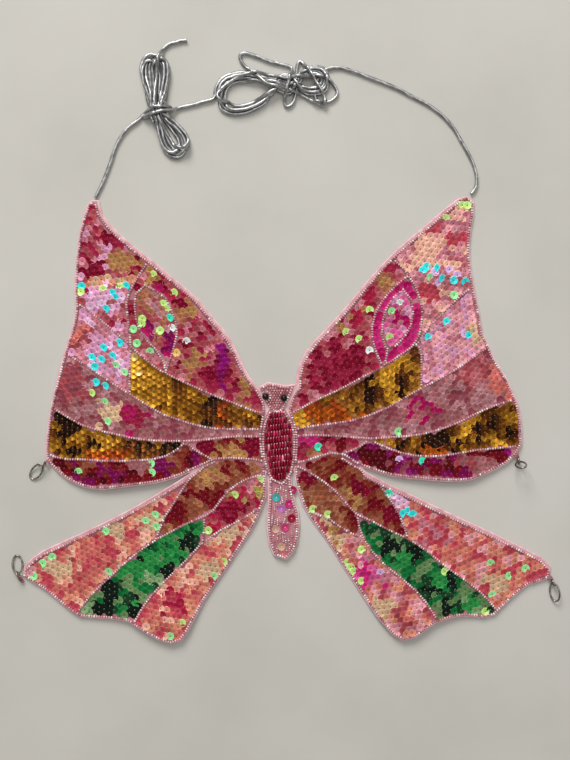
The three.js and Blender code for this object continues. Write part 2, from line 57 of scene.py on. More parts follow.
camera = bpy.data.objects.new("camera", bpy.data.cameras.new("camera"))
camera.location = (*VIEW_CENTRE, VIEW_HEIGHT)
camera.data.sensor_width = 36
camera.data.lens = 36 * VIEW_HEIGHT / VIEW_LONG_SIDE
bpy.context.scene.collection.objects.link(camera)
bpy.context.scene.camera = camera
bpy.context.scene.view_settings.view_transform = "Standard"

# ---------------------------------------------------------------- room: window light and floor
# Soft daylight from a tall window past the wing tips, a little to the left, with light from the
# pale walls filling the shadows. The floor is honed pale stone.
FLOOR_DROP = 0.0002


def linear(hex_colour):
    """An sRGB hex colour as linear RGBA."""
    parts = [int(hex_colour[i : i + 2], 16) / 255 for i in (1, 3, 5)]
    return [c / 12.92 if c <= 0.04045 else ((c + 0.055) / 1.055) ** 2.4 for c in parts] + [1.0]


def node(material, kind, settings=None, inputs=None, links=None):
    """Adds a shader node, sets its properties and inputs, and links outputs into its inputs."""
    made = material.node_tree.nodes.new(kind)
    for name, value in (settings or {}).items():
        setattr(made, name, value)
    for name, value in (inputs or {}).items():
        made.inputs[name].default_value = value
    for name, source in (links or {}).items():
        material.node_tree.links.new(source, made.inputs[name])
    return made


def new_material(name):
    """An empty node material, its colour in the viewport left plain."""
    material = bpy.data.materials.new(name)
    material.use_nodes = True
    material.node_tree.nodes.clear()
    return material


def surface(material, inputs, links):
    """The material's principled shader, joined to its output."""
    shader = node(material, "ShaderNodeBsdfPrincipled", None, inputs, links)
    node(material, "ShaderNodeOutputMaterial", None, None, {"Surface": shader.outputs[0]})
    return shader


def ramp(material, factor, stops, interpolation="LINEAR"):
    """A colour ramp over (place, hex) stops, driven by an output."""
    made = node(material, "ShaderNodeValToRGB", None, None, {"Fac": factor})
    made.color_ramp.interpolation = interpolation
    while len(made.color_ramp.elements) < len(stops):
        made.color_ramp.elements.new(0.5)
    for element, (place, colour) in zip(made.color_ramp.elements, stops):
        element.position = place
        element.color = linear(colour)
    return made.outputs["Color"]


def mesh_piece(name, vertices, faces, smooth=True):
    """A mesh object in the scene, made from points in metres and faces."""
    mesh = bpy.data.meshes.new(name)
    mesh.from_pydata([tuple(v) for v in vertices], [], [tuple(f) for f in faces])
    mesh.validate()
    mesh.polygons.foreach_set("use_smooth", [smooth] * len(mesh.polygons))
    piece = bpy.data.objects.new(name, mesh)
    bpy.context.scene.collection.objects.link(piece)
    return piece


# Honed limestone: matt, warm grey, with faint cloudy mottling some 60 mm across.
stone = new_material("honed_pale_stone")
place = node(stone, "ShaderNodeTexCoord")
clouds = node(
    stone, "ShaderNodeTexNoise", None, {"Scale": 9.0, "Detail": 5.0}, {"Vector": place.outputs["Object"]}
)
stone_colour = ramp(stone, clouds.outputs["Fac"], [(0.3, "#c3c1ba"), (0.5, "#cac8c2"), (0.7, "#cfcdc8")])
surface(stone, {"Roughness": 0.75}, {"Base Color": stone_colour})
bpy.ops.mesh.primitive_plane_add(size=6, location=(0, 0, -FLOOR_DROP))
floor = bpy.context.object
floor.name = "floor"
floor.data.materials.append(stone)


def add_light(name, place, target, size, power, colour):
    """A square area light that faces the target."""
    light = bpy.data.lights.new(name, "AREA")
    light.size = size
    light.energy = power
    light.color = colour
    made = bpy.data.objects.new(name, light)
    made.location = place
    made.rotation_mode = "QUATERNION"
    made.rotation_quaternion = (Vector(target) - Vector(place)).to_track_quat("-Z", "Y")
    bpy.context.scene.collection.objects.link(made)


add_light("window", (-0.6, 2.0, 1.6), (0, 0, 0), 1.1, 52, (1.0, 0.985, 0.96))
add_light("ceiling", (0.3, 0.35, 2.2), (0, 0, 0), 1.6, 12, (1.0, 0.99, 0.97))
world = bpy.data.worlds.new("room")
bpy.context.scene.world = world
world.use_nodes = True
world.node_tree.nodes["Background"].inputs["Color"].default_value = linear("#dfddd8")
world.node_tree.nodes["Background"].inputs["Strength"].default_value = 0.38

# ---------------------------------------------------------------- silver cords
# Soft cord, 2.2 mm across, skinned in silver metallised film that has flattened and twisted in
# use. The neck cord leaves the left wing tip, ties up the waist of the spare lacing cord's hank, is
# wound into its own hank with two wraps round the middle, and comes back to the right wing tip.
CORD = 2.2
CORD_REST = CORD / 2 + 0.05
CORD_STEP = 1.25


def hank_turn(ends, top, bottom, slots, levels):
    """One turn of a hank, up its left side and down its right. ends are the spine's top, waist
    and bottom; top and bottom are (reach, half width, centre); slots the places at the waist
    going up and coming down; levels the heights at the top, waist and bottom, in turns."""
    head, waist, foot = (np.array(p, float) for p in ends)
    lobes = {1: (head - waist, top), -1: (waist - foot, bottom)}
    z_top, z_waist, z_foot = (CORD_REST + 2.05 * level for level in levels)

    def at(side, along, across, z):
        way, (reach, half, centre) = lobes[side]
        right = np.array([way[1], -way[0]]) / np.linalg.norm(way)
        fade = min(1.0, along * 1.6)
        place = waist + side * way * along * reach + right * (across * half + centre * fade)
        return [*place, z]

    up, down = slots
    right = np.array([lobes[1][0][1], -lobes[1][0][0]]) / np.linalg.norm(lobes[1][0])
    shape = [(0.36, 0.68), (0.7, 1.0), (0.9, 0.78), (0.99, 0.0), (0.9, -0.78), (0.7, -1.0), (0.36, -0.68)]
    points = [[*(waist + right * up), z_waist]]
    points += [at(1, along, -across, z_top) for along, across in shape]
    points += [[*(waist + right * down), z_waist]]
    points += [at(-1, along, across, z_foot) for along, across in shape]
    return points


def smooth_line(points, step):
    """A smooth line through points, in even steps."""
    points = np.array(points, float)
    keep = np.concatenate([[True], np.linalg.norm(np.diff(points, axis=0), axis=1) > 0.05])
    points = points[keep]
    padded = np.vstack([2 * points[0] - points[1], points, 2 * points[-1] - points[-2]])
    fine = []
    for a, b, c, d in zip(padded, padded[1:], padded[2:], padded[3:]):
        t = np.linspace(0, 1, 24, endpoint=False)[:, None]
        fine.append(
            0.5 * (2 * b + (c - a) * t + (2 * a - 5 * b + 4 * c - d) * t**2 + (3 * b - a - 3 * c + d) * t**3)
        )
    fine = np.vstack([*fine, points[-1:]])
    length = np.concatenate([[0], np.cumsum(np.linalg.norm(np.diff(fine, axis=0), axis=1))])
    wanted = np.linspace(0, length[-1], max(2, round(length[-1] / step)) + 1)
    return np.column_stack([np.interp(wanted, length, fine[:, i]) for i in range(fine.shape[1])])


LACING_ENDS = ((-79.0, 220.0), (-76.6, 184.4), (-61.5, 158.0))
lacing_route = [[-77.5, 178.0, CORD_REST + 2.3], [-79.6, 181.5, CORD_REST + 2.3]]
lacing_route += hank_turn(LACING_ENDS, (1.0, 6.9, -1.8), (1.0, 6.6, -1.6), (-3.8, 3.4), (0, 1.1, 0))
lacing_route += hank_turn(LACING_ENDS, (0.95, 6.2, 2.2), (0.95, 6.2, 2.0), (-1.6, 1.2), (0, 1.1, 0))
lacing_route += hank_turn(LACING_ENDS, (0.98, 5.6, -0.2), (0.97, 5.4, 0.2), (-2.8, 2.4), (1, 2.1, 0.9))
lacing_route += hank_turn(LACING_ENDS, (0.9, 5.2, -3.0), (0.9, 5.2, -2.6), (-0.8, 0.4), (1, 2.1, 1))
lacing_route += hank_turn(LACING_ENDS, (0.93, 5.2, 3.0), (0.92, 5.2, 3.0), (-2.0, 1.8), (1.9, 2.8, 1.8))
lacing_route += [
    [-78.6, 186.5, CORD_REST + 6.0], [-78.4, 196, CORD_REST + 4.6], [-77.4, 207, CORD_REST + 4.2]
]
lacing_route += [
    [-76.2, 216, CORD_REST + 4.2], [-74.6, 221.0, CORD_REST + 2.6], [-72.0, 224.0, CORD_REST + 0.6]
]
lacing_route += [[-69.0, 225.8, CORD_REST], [-64.2, 227.0, CORD_REST], [-59.4, 227.4, CORD_REST]]

NECK_ENDS = ((-42.5, 192.5), (0.5, 201.2), (26.0, 204.0))
neck_route = [[-114.2, 133.1, 1.15], [-108.6, 145.2, 1.15], [-103.8, 158.4, 1.15], [-100.8, 166.8, 1.15]]
neck_route += [[-95.4, 174.6, 1.15], [-89.5, 178.9, 1.15], [-85.6, 181.6, 1.6], [-84.4, 184.0, 4.2]]
neck_route += [[-80.8, 185.8, 8.6], [-76.5, 186.8, 9.6], [-71.6, 187.4, 8.2], [-67.8, 187.0, 5.0]]
neck_route += [[-68.0, 185.6, 1.9], [-72.0, 184.3, 1.15], [-78.4, 183.0, 1.15], [-83.6, 181.8, 1.3]]
neck_route += [[-86.4, 181.0, 4.0], [-83.0, 181.8, 7.8], [-76.8, 183.0, 9.4], [-72.0, 184.0, 7.6]]
neck_route += [[-69.6, 185.2, 4.0], [-66.2, 186.5, 1.6], [-62.0, 187.5, 1.15], [-55.8, 189.0, 1.15]]
neck_route += [[-47.0, 191.2, 1.15]]


def neck_turn(left, right, slots, levels):
    """A turn of the neck hank, which lies with its spine nearly level: over the top of the left
    lobe towards the right, then back along the underside."""
    points = hank_turn(NECK_ENDS, left, right, slots, levels)
    return points[4:] + points[:4]


neck_route += neck_turn((1.0, 12.0, 0.0), (1.0, 8.6, 0.0), (6.6, -6.6), (0, 0, 0))
neck_route += neck_turn((0.95, 9.6, -0.6), (0.92, 6.4, 0.0), (4.4, -4.2), (0, 0, 0))
neck_route += neck_turn((0.97, 10.8, 0.6), (0.97, 7.4, 0.4), (5.4, -5.3), (1, 1, 1))
neck_route += neck_turn((0.88, 7.6, 0.0), (0.86, 5.0, 0.0), (2.2, -2.0), (1, 1, 0.6))
neck_route += [
    [-42.0, 192.8, 3.4], [-37.0, 199.6, 4.4], [-26.0, 206.2, 5.2], [-12.0, 206.6, 5.4], [0.0, 204.0, 5.4]
]
neck_route += [
    [12.0, 205.6, 4.6], [21.0, 206.0, 3.0], [26.6, 202.8, 1.6], [31.0, 198.0, 1.15], [30.8, 193.6, 1.15]
]
neck_route += [
    [25.8, 190.2, 1.15], [20.4, 189.4, 1.15], [14.6, 191.6, 1.8], [8.0, 195.8, 4.6], [0.0, 198.2, 5.6]
]
neck_route += [
    [-8.0, 199.4, 5.6], [-15.0, 203.6, 5.0], [-20.6, 208.4, 3.4], [-24.8, 211.8, 1.6], [-28.2, 216.4, 1.15]
]
neck_route += [
    [-28.0, 219.8, 1.15], [-24.6, 220.6, 1.15], [-16.0, 217.2, 1.15], [-6.0, 213.6, 1.15], [1.0, 212.6, 1.8]
]
neck_route += [[4.2, 210.8, 4.6], [3.6, 207.2, 8.2], [1.8, 201.6, 9.6], [0.0, 195.6, 8.8], [-1.2, 190.8, 7.2]]
neck_route += [
    [-0.8, 187.6, 4.0], [1.6, 186.8, 1.5], [4.6, 189.8, 1.15], [5.8, 196.6, 1.15], [6.2, 203.6, 1.15],
    [6.4, 211.0, 1.2], [7.6, 215.6, 3.4]
]
neck_route += [
    [10.0, 214.2, 6.8], [13.6, 209.0, 8.8], [17.6, 202.6, 8.8], [21.4, 196.6, 7.8], [24.0, 191.6, 5.2]
]
neck_route += [
    [23.4, 188.6, 2.2], [19.8, 188.6, 1.15], [17.6, 193.0, 1.15], [17.8, 200.0, 1.15], [20.0, 206.2, 1.15],
    [24.0, 209.8, 1.15], [29.0, 211.4, 1.15]
]
neck_route += [
    [35.4, 210.6, 1.15], [48.6, 205.8, 1.15], [64.2, 199.8, 1.15], [76.8, 193.2, 1.15], [88.8, 186.6, 1.15]
]
neck_route += [[99.0, 177.0, 1.15], [106.2, 165.0, 1.15], [112.2, 153.6, 1.15], [114.6, 143.4, 1.15]]
neck_route += [[113.6, 138.6, 1.15], [110.9, 135.4, 1.15]]


# How far a cord may bow, in mm, over two steps each way before it is eased. The tightest wraps stay
# tighter than that asks: about ten bends there have a radius of only 1.2 to 2.5 mm.
CORD_BEND = 1.0


def settle(lines, rounds):
    """Lets cords lie: they sink to the floor, keep a diameter apart, stay near their routes and
    open out where they bend too tightly."""
    home = np.vstack(lines)
    points = home.copy()
    which = np.concatenate([np.full(len(line), i) for i, line in enumerate(lines)])
    order = np.arange(len(home))
    apart = (which[:, None] != which[None, :]) | (abs(order[:, None] - order[None, :]) > 4)
    inner = np.concatenate([[False], (which[1:-1] == which[:-2]) & (which[1:-1] == which[2:]), [False]])
    deep = inner & np.roll(inner, 1) & np.roll(inner, -1)
    for _ in range(rounds):
        points[:, :2] += 0.03 * (home[:, :2] - points[:, :2])
        points[:, 2] = np.maximum(points[:, 2] - 0.025, CORD_REST)
        middle = (np.roll(points, 1, 0) + np.roll(points, -1, 0)) / 2
        points[inner] += 0.2 * (middle[inner] - points[inner])
        bow = (np.roll(points, 2, 0) + np.roll(points, -2, 0)) / 2 - points
        ease = np.clip(1 - CORD_BEND / np.maximum(np.linalg.norm(bow, axis=1), 1e-6), 0, 0.6)
        points[deep] += (bow * ease[:, None])[deep]
        near = apart & (abs(points[:, None, 2] - points[None, :, 2]) < CORD)
        i, j = np.nonzero(np.triu(near & (abs(points[:, None, 0] - points[None, :, 0]) < CORD)))
        gap = points[i] - points[j]
        far = np.linalg.norm(gap, axis=1)
        close = far < CORD
        i, j, gap, far = i[close], j[close], gap[close], far[close] + 1e-6
        gap[:, 2] *= 1.6
        push = gap * ((CORD - far) / far * 0.32)[:, None]
        count = np.bincount(np.concatenate([i, j]), minlength=len(points)) ** 0.5 + 1e-9
        np.add.at(points, i, push / count[i, None] * 1.4)
        np.add.at(points, j, -push / count[j, None] * 1.4)
        points[:, 2] = np.maximum(points[:, 2], CORD_REST)
    return [points[which == i] for i in range(len(lines))]


def ring_frames(line):
    """Directions along and across a line of points, without twist."""
    along = np.gradient(line, axis=0)
    along /= np.linalg.norm(along, axis=1)[:, None]
    across = np.cross(along[0], [0.0, 0.0, 1.0])
    sides = []
    for way in along:
        across = across - way * (across @ way)
        across /= np.linalg.norm(across)
        sides.append(across.copy())
    sides = np.array(sides)
    return along, sides, np.cross(along, sides)


# The skin is pressed a little flat, and its flat side turns over about every 21 mm, unevenly,
# with a fine seam along it.
CORD_SECTION = 16
CORD_TWIST = 21.0


def twisted_cord(name, line):
    """A closed tube along the line, slightly flat in section, that twists as it goes."""
    line = smooth_line(line, 0.42)
    _, across, up = ring_frames(line)
    turn = np.arange(CORD_SECTION) * 2 * math.pi / CORD_SECTION
    run = np.arange(len(line))[:, None] * 0.42
    twist = math.pi * run / CORD_TWIST + 0.9 * np.sin(run * 0.17) + 0.4 * np.sin(run * 0.45 + 1)
    ribs = np.cos(2 * (turn[None] - twist))
    radius = CORD / 2 * (0.91 + 0.07 * ribs + 0.02 * np.cos(5 * (turn[None] - twist)))
    rings = line[:, None] + radius[..., None] * (
        across[:, None] * np.cos(turn)[None, :, None] + up[:, None] * np.sin(turn)[None, :, None]
    )
    points = list(rings.reshape(-1, 3) * MM) + [line[0] * MM, line[-1] * MM]
    n, last = CORD_SECTION, (len(line) - 1) * CORD_SECTION
    faces = [
        (k * n + i, k * n + (i + 1) % n, (k + 1) * n + (i + 1) % n, (k + 1) * n + i)
        for k in range(len(line) - 1)
        for i in range(n)
    ]
    faces += [((i + 1) % n, i, len(points) - 2) for i in range(n)]
    faces += [(last + i, last + (i + 1) % n, len(points) - 1) for i in range(n)]
    piece = mesh_piece(name, points, faces)
    # Paler towards the edges of the flattened section, darker on its flat sides.
    edge = (ribs.ravel() + 1) / 2
    shade = piece.data.attributes.new("edge_paleness", "FLOAT", "POINT")
    shade.data.foreach_set("value", np.concatenate([edge, [0.5, 0.5]]).astype(np.float32))
    return piece, line * MM


# Metallised film skin: a soft grey mirror, paler along the edges of its flattened section and
# darker on its flat sides, and creased finely, so its highlights break into short streaks.
silver = new_material("silver_metallised_film_skin")
tone_shift = node(silver, "ShaderNodeAttribute", {"attribute_name": "edge_paleness"})
spot = node(silver, "ShaderNodeTexCoord")
crease = node(
    silver, "ShaderNodeTexNoise", None, {"Scale": 420.0, "Detail": 4.0}, {"Vector": spot.outputs["Object"]}
)
silver_mix = node(
    silver,
    "ShaderNodeMath",
    {"operation": "MULTIPLY_ADD"},
    {1: 0.3},
    {0: tone_shift.outputs["Fac"], 2: crease.outputs["Fac"]},
)
silver_colour = ramp(silver, silver_mix.outputs[0], [(0.35, "#828283"), (0.6, "#a2a3a4"), (0.9, "#d2d3d5")])
silver_bump = node(
    silver, "ShaderNodeBump", None, {"Strength": 0.5, "Distance": 0.0002}, {"Height": crease.outputs["Fac"]}
)
surface(
    silver, {"Metallic": 0.85, "Roughness": 0.36},
    {"Base Color": silver_colour, "Normal": silver_bump.outputs[0]}
)

lacing_line, neck_line = settle(
    [smooth_line(lacing_route, CORD_STEP), smooth_line(neck_route, CORD_STEP)], 220
)
lacing_cord, lacing_path = twisted_cord("lacing_cord", lacing_line)
neck_cord, neck_path = twisted_cord("neck_cord", neck_line)
for piece, path, far_end in ((neck_cord, neck_path, "object"), (lacing_cord, lacing_path, "bare")):
    piece.data.materials.append(silver)
    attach(piece, "butterfly")
    lay = "coiled" if piece is lacing_cord else "loose"
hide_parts("neck_cord_left", "neck_cord_middle", "neck_cord_right", "neck_cord_loop", "neck_hank")
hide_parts("lacing_hank", "lacing_cord_end")

# ---------------------------------------------------------------- how the laid cloth rises
# Limp cloth stiffened by its sequins: it lies on the floor at the wing corners and under the
# body, and its scalloped hems curl up two or three millimetres.
CURLS = [
    (-92, -34, 30, 14, 2.4), (92, -31, 30, 14, 2.4), (-74, -124, 30, 18, 2.6), (72, -122, 30, 18, 2.6),
    (-4, -66, 12, 20, 1.6), (112, 22, 26, 5, 1.1), (-112, 74, 24, 6, 1.0), (88, 86, 26, 6, 1.0),
    (-130, 14, 16, 26, 0.9), (128, 8, 16, 22, 0.9), (-40, 26, 20, 16, 0.8), (32, 36, 18, 20, 0.8),
]


def rise(x, y):
    """Height of the laid cloth above the floor at a place, in millimetres."""
    height = 0.16 * (1 + np.sin(x * 0.11 + 1.3 * np.sin(y * 0.05)) * np.cos(y * 0.08))
    for cx, cy, wide, long, top in CURLS:
        height = height + top * np.exp(-(((x - cx) / wide) ** 2) - ((y - cy) / long) ** 2)
    return height


def lay(points):
    """Points in millimetres moved up with the cloth they are on, in metres."""
    points = np.array(points, float)
    points[:, 2] += rise(points[:, 0], points[:, 1])
    return points * MM


def rims(name):
    """The outlines of a flat CAD piece's top face, in millimetres, the longest first. The first
    runs anticlockwise, and holes run clockwise."""
    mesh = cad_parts[name].data
    mesh.calc_loop_triangles()
    places = [tuple(round(c / MM, 3) for c in v.co) for v in mesh.vertices]
    level = max(p[2] for p in places) - 0.02
    edges = set()
    for triangle in mesh.loop_triangles:
        corners = [places[i] for i in triangle.vertices]
        if min(p[2] for p in corners) > level:
            edges |= {(a[:2], b[:2]) for a, b in zip(corners, corners[1:] + corners[:1])}
    after = {a: b for a, b in edges if (b, a) not in edges}
    loops = []
    while after:
        start = min(after)
        loop, here = [start], after.pop(start)
        while here in after:
            loop.append(here)
            here = after.pop(here)
        if len(loop) > 3:
            loops.append(np.array(loop))
    return sorted(loops, key=lambda loop: -np.linalg.norm(loop - np.roll(loop, 1, 0), axis=1).sum())


def resampled(loop, step):
    """A closed outline in even steps."""
    closed = np.vstack([loop, loop[:1]])
    length = np.concatenate([[0], np.cumsum(np.linalg.norm(np.diff(closed, axis=0), axis=1))])
    wanted = np.linspace(0, length[-1], max(3, round(length[-1] / step)), endpoint=False)
    return np.column_stack([np.interp(wanted, length, closed[:, i]) for i in (0, 1)])


def moved_in(loop, distance):
    """A closed anticlockwise outline moved inwards."""
    before, after = loop - np.roll(loop, 1, 0), np.roll(loop, -1, 0) - loop
    way = before / np.linalg.norm(before, axis=1)[:, None] + after / np.linalg.norm(after, axis=1)[:, None]
    size = np.maximum(np.linalg.norm(way, axis=1), 0.9)[:, None]
    way = way / size
    return loop + distance * np.column_stack([-way[:, 1], way[:, 0]])


def edge_distance(points, loops):
    """Distance from each point to the nearest outline, and the nearest place on it."""
    best, place = np.full(len(points), 1e9), np.zeros((len(points), 2))
    for loop in loops:
        a, b = loop, np.roll(loop, -1, 0)
        for start, end in zip(a, b):
            way = end - start
            t = np.clip((points - start) @ way / max(way @ way, 1e-9), 0, 1)
            near = start + t[:, None] * way
            far = np.linalg.norm(points - near, axis=1)
            closer = far < best
            best[closer], place[closer] = far[closer], near[closer]
    return best, place


def inside(points, loops):
    """True for each point inside the outlines, holes left out."""
    odd = np.zeros(len(points), bool)
    for loop in loops:
        for (ax, ay), (bx, by) in zip(loop, np.roll(loop, -1, 0)):
            spans = (ay > points[:, 1]) != (by > points[:, 1])
            if ay != by:
                odd ^= spans & (points[:, 0] < (bx - ax) * (points[:, 1] - ay) / (by - ay) + ax)
    return odd


# ---------------------------------------------------------------- satin lining and binding
# Pale pink polyester satin lines the back and is turned over the edge as a narrow soft roll,
# which shows all round outside the beads.
LINING_STEP = 1.6
LINING_GRID = 5.0


def cloth_piece(name, node_name, floor_z, profile):
    """A closed cloth solid over a CAD slab's outline: profile gives (distance in, height) rings
    from the edge inwards, and the middle is flat at the last height."""
    loop = resampled(rims(node_name)[0], LINING_STEP)
    rings = [moved_in(loop, d) for d, _ in profile]
    heights = [z for _, z in profile]
    inner = rings[-1]
    low, high = inner.min(0), inner.max(0)
    grid = np.array(
        [(x, y) for x in np.arange(low[0], high[0], LINING_GRID)
        for y in np.arange(low[1], high[1], LINING_GRID)]
    )
    far, _ = edge_distance(grid, [inner])
    grid = grid[inside(grid, [inner]) & (far > LINING_STEP)]
    n = len(loop)
    flat = [Vector(p) for p in np.vstack([inner, grid])]
    edges = [(i, (i + 1) % n) for i in range(n)]
    found, _, triangles, source, _, _ = delaunay_2d_cdt(flat, edges, [list(range(n))], 1, 1e-5)
    index = [s[0] if s else 0 for s in source]
    top = [[*p, z] for ring, z in zip(rings, heights) for p in ring] + [[*p, heights[-1]] for p in grid]
    base = (len(rings) - 1) * n
    faces = [[base + index[i] for i in t] for t in triangles]
    for k in range(len(rings) - 1):
        faces += [
            (k * n + i, k * n + (i + 1) % n, (k + 1) * n + (i + 1) % n, (k + 1) * n + i) for i in range(n)
        ]
    under = len(top)
    bottom = [[*p, floor_z] for p in rings[1]] + [[*p, floor_z] for p in grid]
    faces += [[under + index[i] for i in reversed(t)] for t in triangles]
    faces += [(i, under + i, under + (i + 1) % n, (i + 1) % n) for i in range(n)]
    faces = [f for f in faces if len(set(f)) > 2]
    piece = mesh_piece(name, lay(top + bottom), faces)
    area = sum(
        abs((flat[a] - flat[b]).cross(flat[c] - flat[b])) / 2 for a, b, c in ([index[i] for i in t]
        for t in triangles)
    )
    return piece, area * MM**2


# Satin: smooth with a soft lengthwise sheen, its threads 0.2 mm apart drawn at 0.7 mm, and
# slightly puckered, its pink painted paler on the raised puckers and deeper in their hollows:
# painted light and shade.
satin = new_material("pale_pink_satin")
spot = node(satin, "ShaderNodeTexCoord")
pucker_relief_and_shading = node(
    satin, "ShaderNodeTexNoise", None, {"Scale": 260.0, "Detail": 3.0}, {"Vector": spot.outputs["Object"]}
)
weave = node(
    satin, "ShaderNodeTexWave", {"wave_type": "BANDS", "bands_direction": "DIAGONAL"},
    {"Scale": 420.0, "Distortion": 1.5}, {"Vector": spot.outputs["Object"]}
)
# Painted light and shade: the same noise that raises the puckers makes them paler.
satin_colour = ramp(satin, pucker_relief_and_shading.outputs["Fac"], [(0.3, "#dfa6af"), (0.5, "#eebdc4"), (0.7, "#f8d5d9")])
satin_relief = node(
    satin, "ShaderNodeMath", {"operation": "MULTIPLY_ADD"}, {1: 0.3},
    {0: weave.outputs["Fac"], 2: pucker_relief_and_shading.outputs["Fac"]}
)
satin_bump = node(
    satin, "ShaderNodeBump", None, {"Strength": 0.5, "Distance": 0.0003},
    {"Height": satin_relief.outputs[0]}
)
surface(
    satin, {"Roughness": 0.38, "Sheen Weight": 0.4},
    {"Base Color": satin_colour, "Normal": satin_bump.outputs[0]}
)

lining, lining_area = cloth_piece(
    "satin_lining_cloth", "satin_lining", 0.0,
    [(0.0, 0.25), (0.22, 0.75), (0.6, 1.0), (1.0, 0.8), (1.4, 0.58)]
)
lining.data.materials.append(satin)
low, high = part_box("satin_lining")
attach(lining, "butterfly")
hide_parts("satin_lining")

# ---------------------------------------------------------------- ground cloth
# Plain woven pink cloth that everything is sewn to; it shows between sequins and on the tail.
# Plain weave: matt, with a fine over and under grid, threads drawn 0.6 mm apart. Unevenly dyed,
# and the raised squares of the grid are painted paler: painted light on the threads that lie over.
ground = new_material("pink_plain_woven_cloth")
spot = node(ground, "ShaderNodeTexCoord")
thread_grid = node(
    ground, "ShaderNodeTexChecker", None, {"Scale": 1600.0}, {"Vector": spot.outputs["Object"]}
)
dye = node(
    ground, "ShaderNodeTexNoise", None, {"Scale": 120.0, "Detail": 3.0}, {"Vector": spot.outputs["Object"]}
)
# Uneven dye plus painted light: the grid's raised squares are also made paler.
dye_and_weave_shading = node(
    ground, "ShaderNodeMath", {"operation": "MULTIPLY_ADD"}, {1: 0.25},
    {0: thread_grid.outputs["Fac"], 2: dye.outputs["Fac"]}
)
ground_colour = ramp(ground, dye_and_weave_shading.outputs[0], [(0.3, "#96525f"), (0.55, "#b56f7c"), (0.8, "#cd8f98")])
ground_bump = node(
    ground, "ShaderNodeBump", None, {"Strength": 0.6, "Distance": 0.0002},
    {"Height": thread_grid.outputs["Fac"]}
)
surface(
    ground, {"Roughness": 0.85, "Sheen Weight": 0.3},
    {"Base Color": ground_colour, "Normal": ground_bump.outputs[0]}
)

cloth, cloth_area = cloth_piece(
    "ground_cloth_weave", "ground_cloth", 0.6, [(0.0, 0.8), (0.15, 1.05), (0.5, 1.1)]
)
cloth.data.materials.append(ground)
low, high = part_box("ground_cloth")
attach(cloth, "butterfly")
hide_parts("ground_cloth")

# ---------------------------------------------------------------- sequins: one disc and its field
# Flat round sequins, 5 mm across with a raised rim and a hole in the middle, are sewn one by one
# in rows that overlap like scales, each held by a stitch that shows as a dot.
SEQUIN_ALONG = 3.5
SEQUIN_ACROSS = 3.0
SEQUIN_SIDES = 14
STITCH_SIDES = 6
speckle = np.random.default_rng(41)


def turned_rings(profile, sides):
    """A closed turned shape in millimetres from (radius, height) rings: its points and faces."""
    turn = np.arange(sides) * 2 * math.pi / sides
    points = [[r * math.cos(t), r * math.sin(t), z] for r, z in profile[1:-1] for t in turn]
    points += [[0, 0, profile[0][1]], [0, 0, profile[-1][1]]]
    count, top = len(profile) - 2, len(points) - 2
    faces = [[top, i, (i + 1) % sides] for i in range(sides)]
    for k in range(count - 1):
        faces += [
            [k * sides + i, (k + 1) * sides + i, (k + 1) * sides + (i + 1) % sides, k * sides + (i + 1) % sides]
            for i in range(sides)
        ]
    last = (count - 1) * sides
    faces += [[top + 1, last + (i + 1) % sides, last + i] for i in range(sides)]
    return np.array(points), faces


SEQUIN_PROFILE = [
    (0, -0.05), (0.5, -0.05), (0.62, 0.03), (2.15, 0.02), (2.36, 0.1), (2.5, 0.02), (2.42, -0.08),
    (0, -0.12)
]
STITCH_PROFILE = [(0, 0.2), (0.24, 0.15), (0.36, 0.0), (0.3, -0.1), (0, -0.1)]
sequin_points, sequin_faces = turned_rings(SEQUIN_PROFILE, SEQUIN_SIDES)
stitch_points, stitch_faces = turned_rings(STITCH_PROFILE, STITCH_SIDES)
one_points = np.vstack([sequin_points, stitch_points])
one_faces = sequin_faces + [[i + len(sequin_points) for i in f] for f in stitch_faces]


def stamped(name, shape_points, shape_faces, places, frames, colours, attribute):
    """Copies of one shape at places in millimetres, with (x, y, z) axes each, as one mesh laid on
    the cloth. colours gives a linear colour for every point of every copy."""
    world = np.einsum("pk,nkj->npj", shape_points, frames) + places[:, None]
    flat = world.reshape(-1, 3)
    lifted = flat.copy()
    lifted[:, 2] += np.repeat(rise(places[:, 0], places[:, 1]), len(shape_points))
    slope_x = (rise(places[:, 0] + 1, places[:, 1]) - rise(places[:, 0] - 1, places[:, 1])) / 2
    slope_y = (rise(places[:, 0], places[:, 1] + 1) - rise(places[:, 0], places[:, 1] - 1)) / 2
    off = world - places[:, None]
    lifted[:, 2] += (off[..., 0] * slope_x[:, None] + off[..., 1] * slope_y[:, None]).ravel()
    count = len(shape_points)
    mesh = bpy.data.meshes.new(name)
    sizes = np.array([len(f) for f in shape_faces])
    ids = np.concatenate([np.array(f) for f in shape_faces])
    loops = (ids[None] + (np.arange(len(places)) * count)[:, None]).ravel()
    totals = np.tile(sizes, len(places))
    mesh.vertices.add(len(flat))
    mesh.vertices.foreach_set("co", (lifted * MM).ravel())
    mesh.loops.add(len(loops))
    mesh.loops.foreach_set("vertex_index", loops)
    mesh.polygons.add(len(totals))
    mesh.polygons.foreach_set("loop_start", np.concatenate([[0], np.cumsum(totals)[:-1]]))
    mesh.update(calc_edges=True)
    mesh.set_sharp_from_angle(angle=math.radians(50))
    tint = mesh.attributes.new(attribute, "FLOAT_COLOR", "POINT")
    tint.data.foreach_set("color", np.asarray(colours, float).reshape(-1))
    piece = bpy.data.objects.new(name, mesh)
    bpy.context.scene.collection.objects.link(piece)
    return piece


def cloud(x, y, size, seed):
    """A smooth random field, about -1 to 1, its patches about size across."""
    made = np.random.default_rng(seed)
    total = 0
    for _ in range(7):
        angle, phase = made.uniform(0, 2 * math.pi, 2)
        wave = 2 * math.pi / size * made.uniform(0.35, 0.8)
        total = total + np.sin(wave * (x * math.cos(angle) + y * math.sin(angle)) + phase)
    return total / 3.2


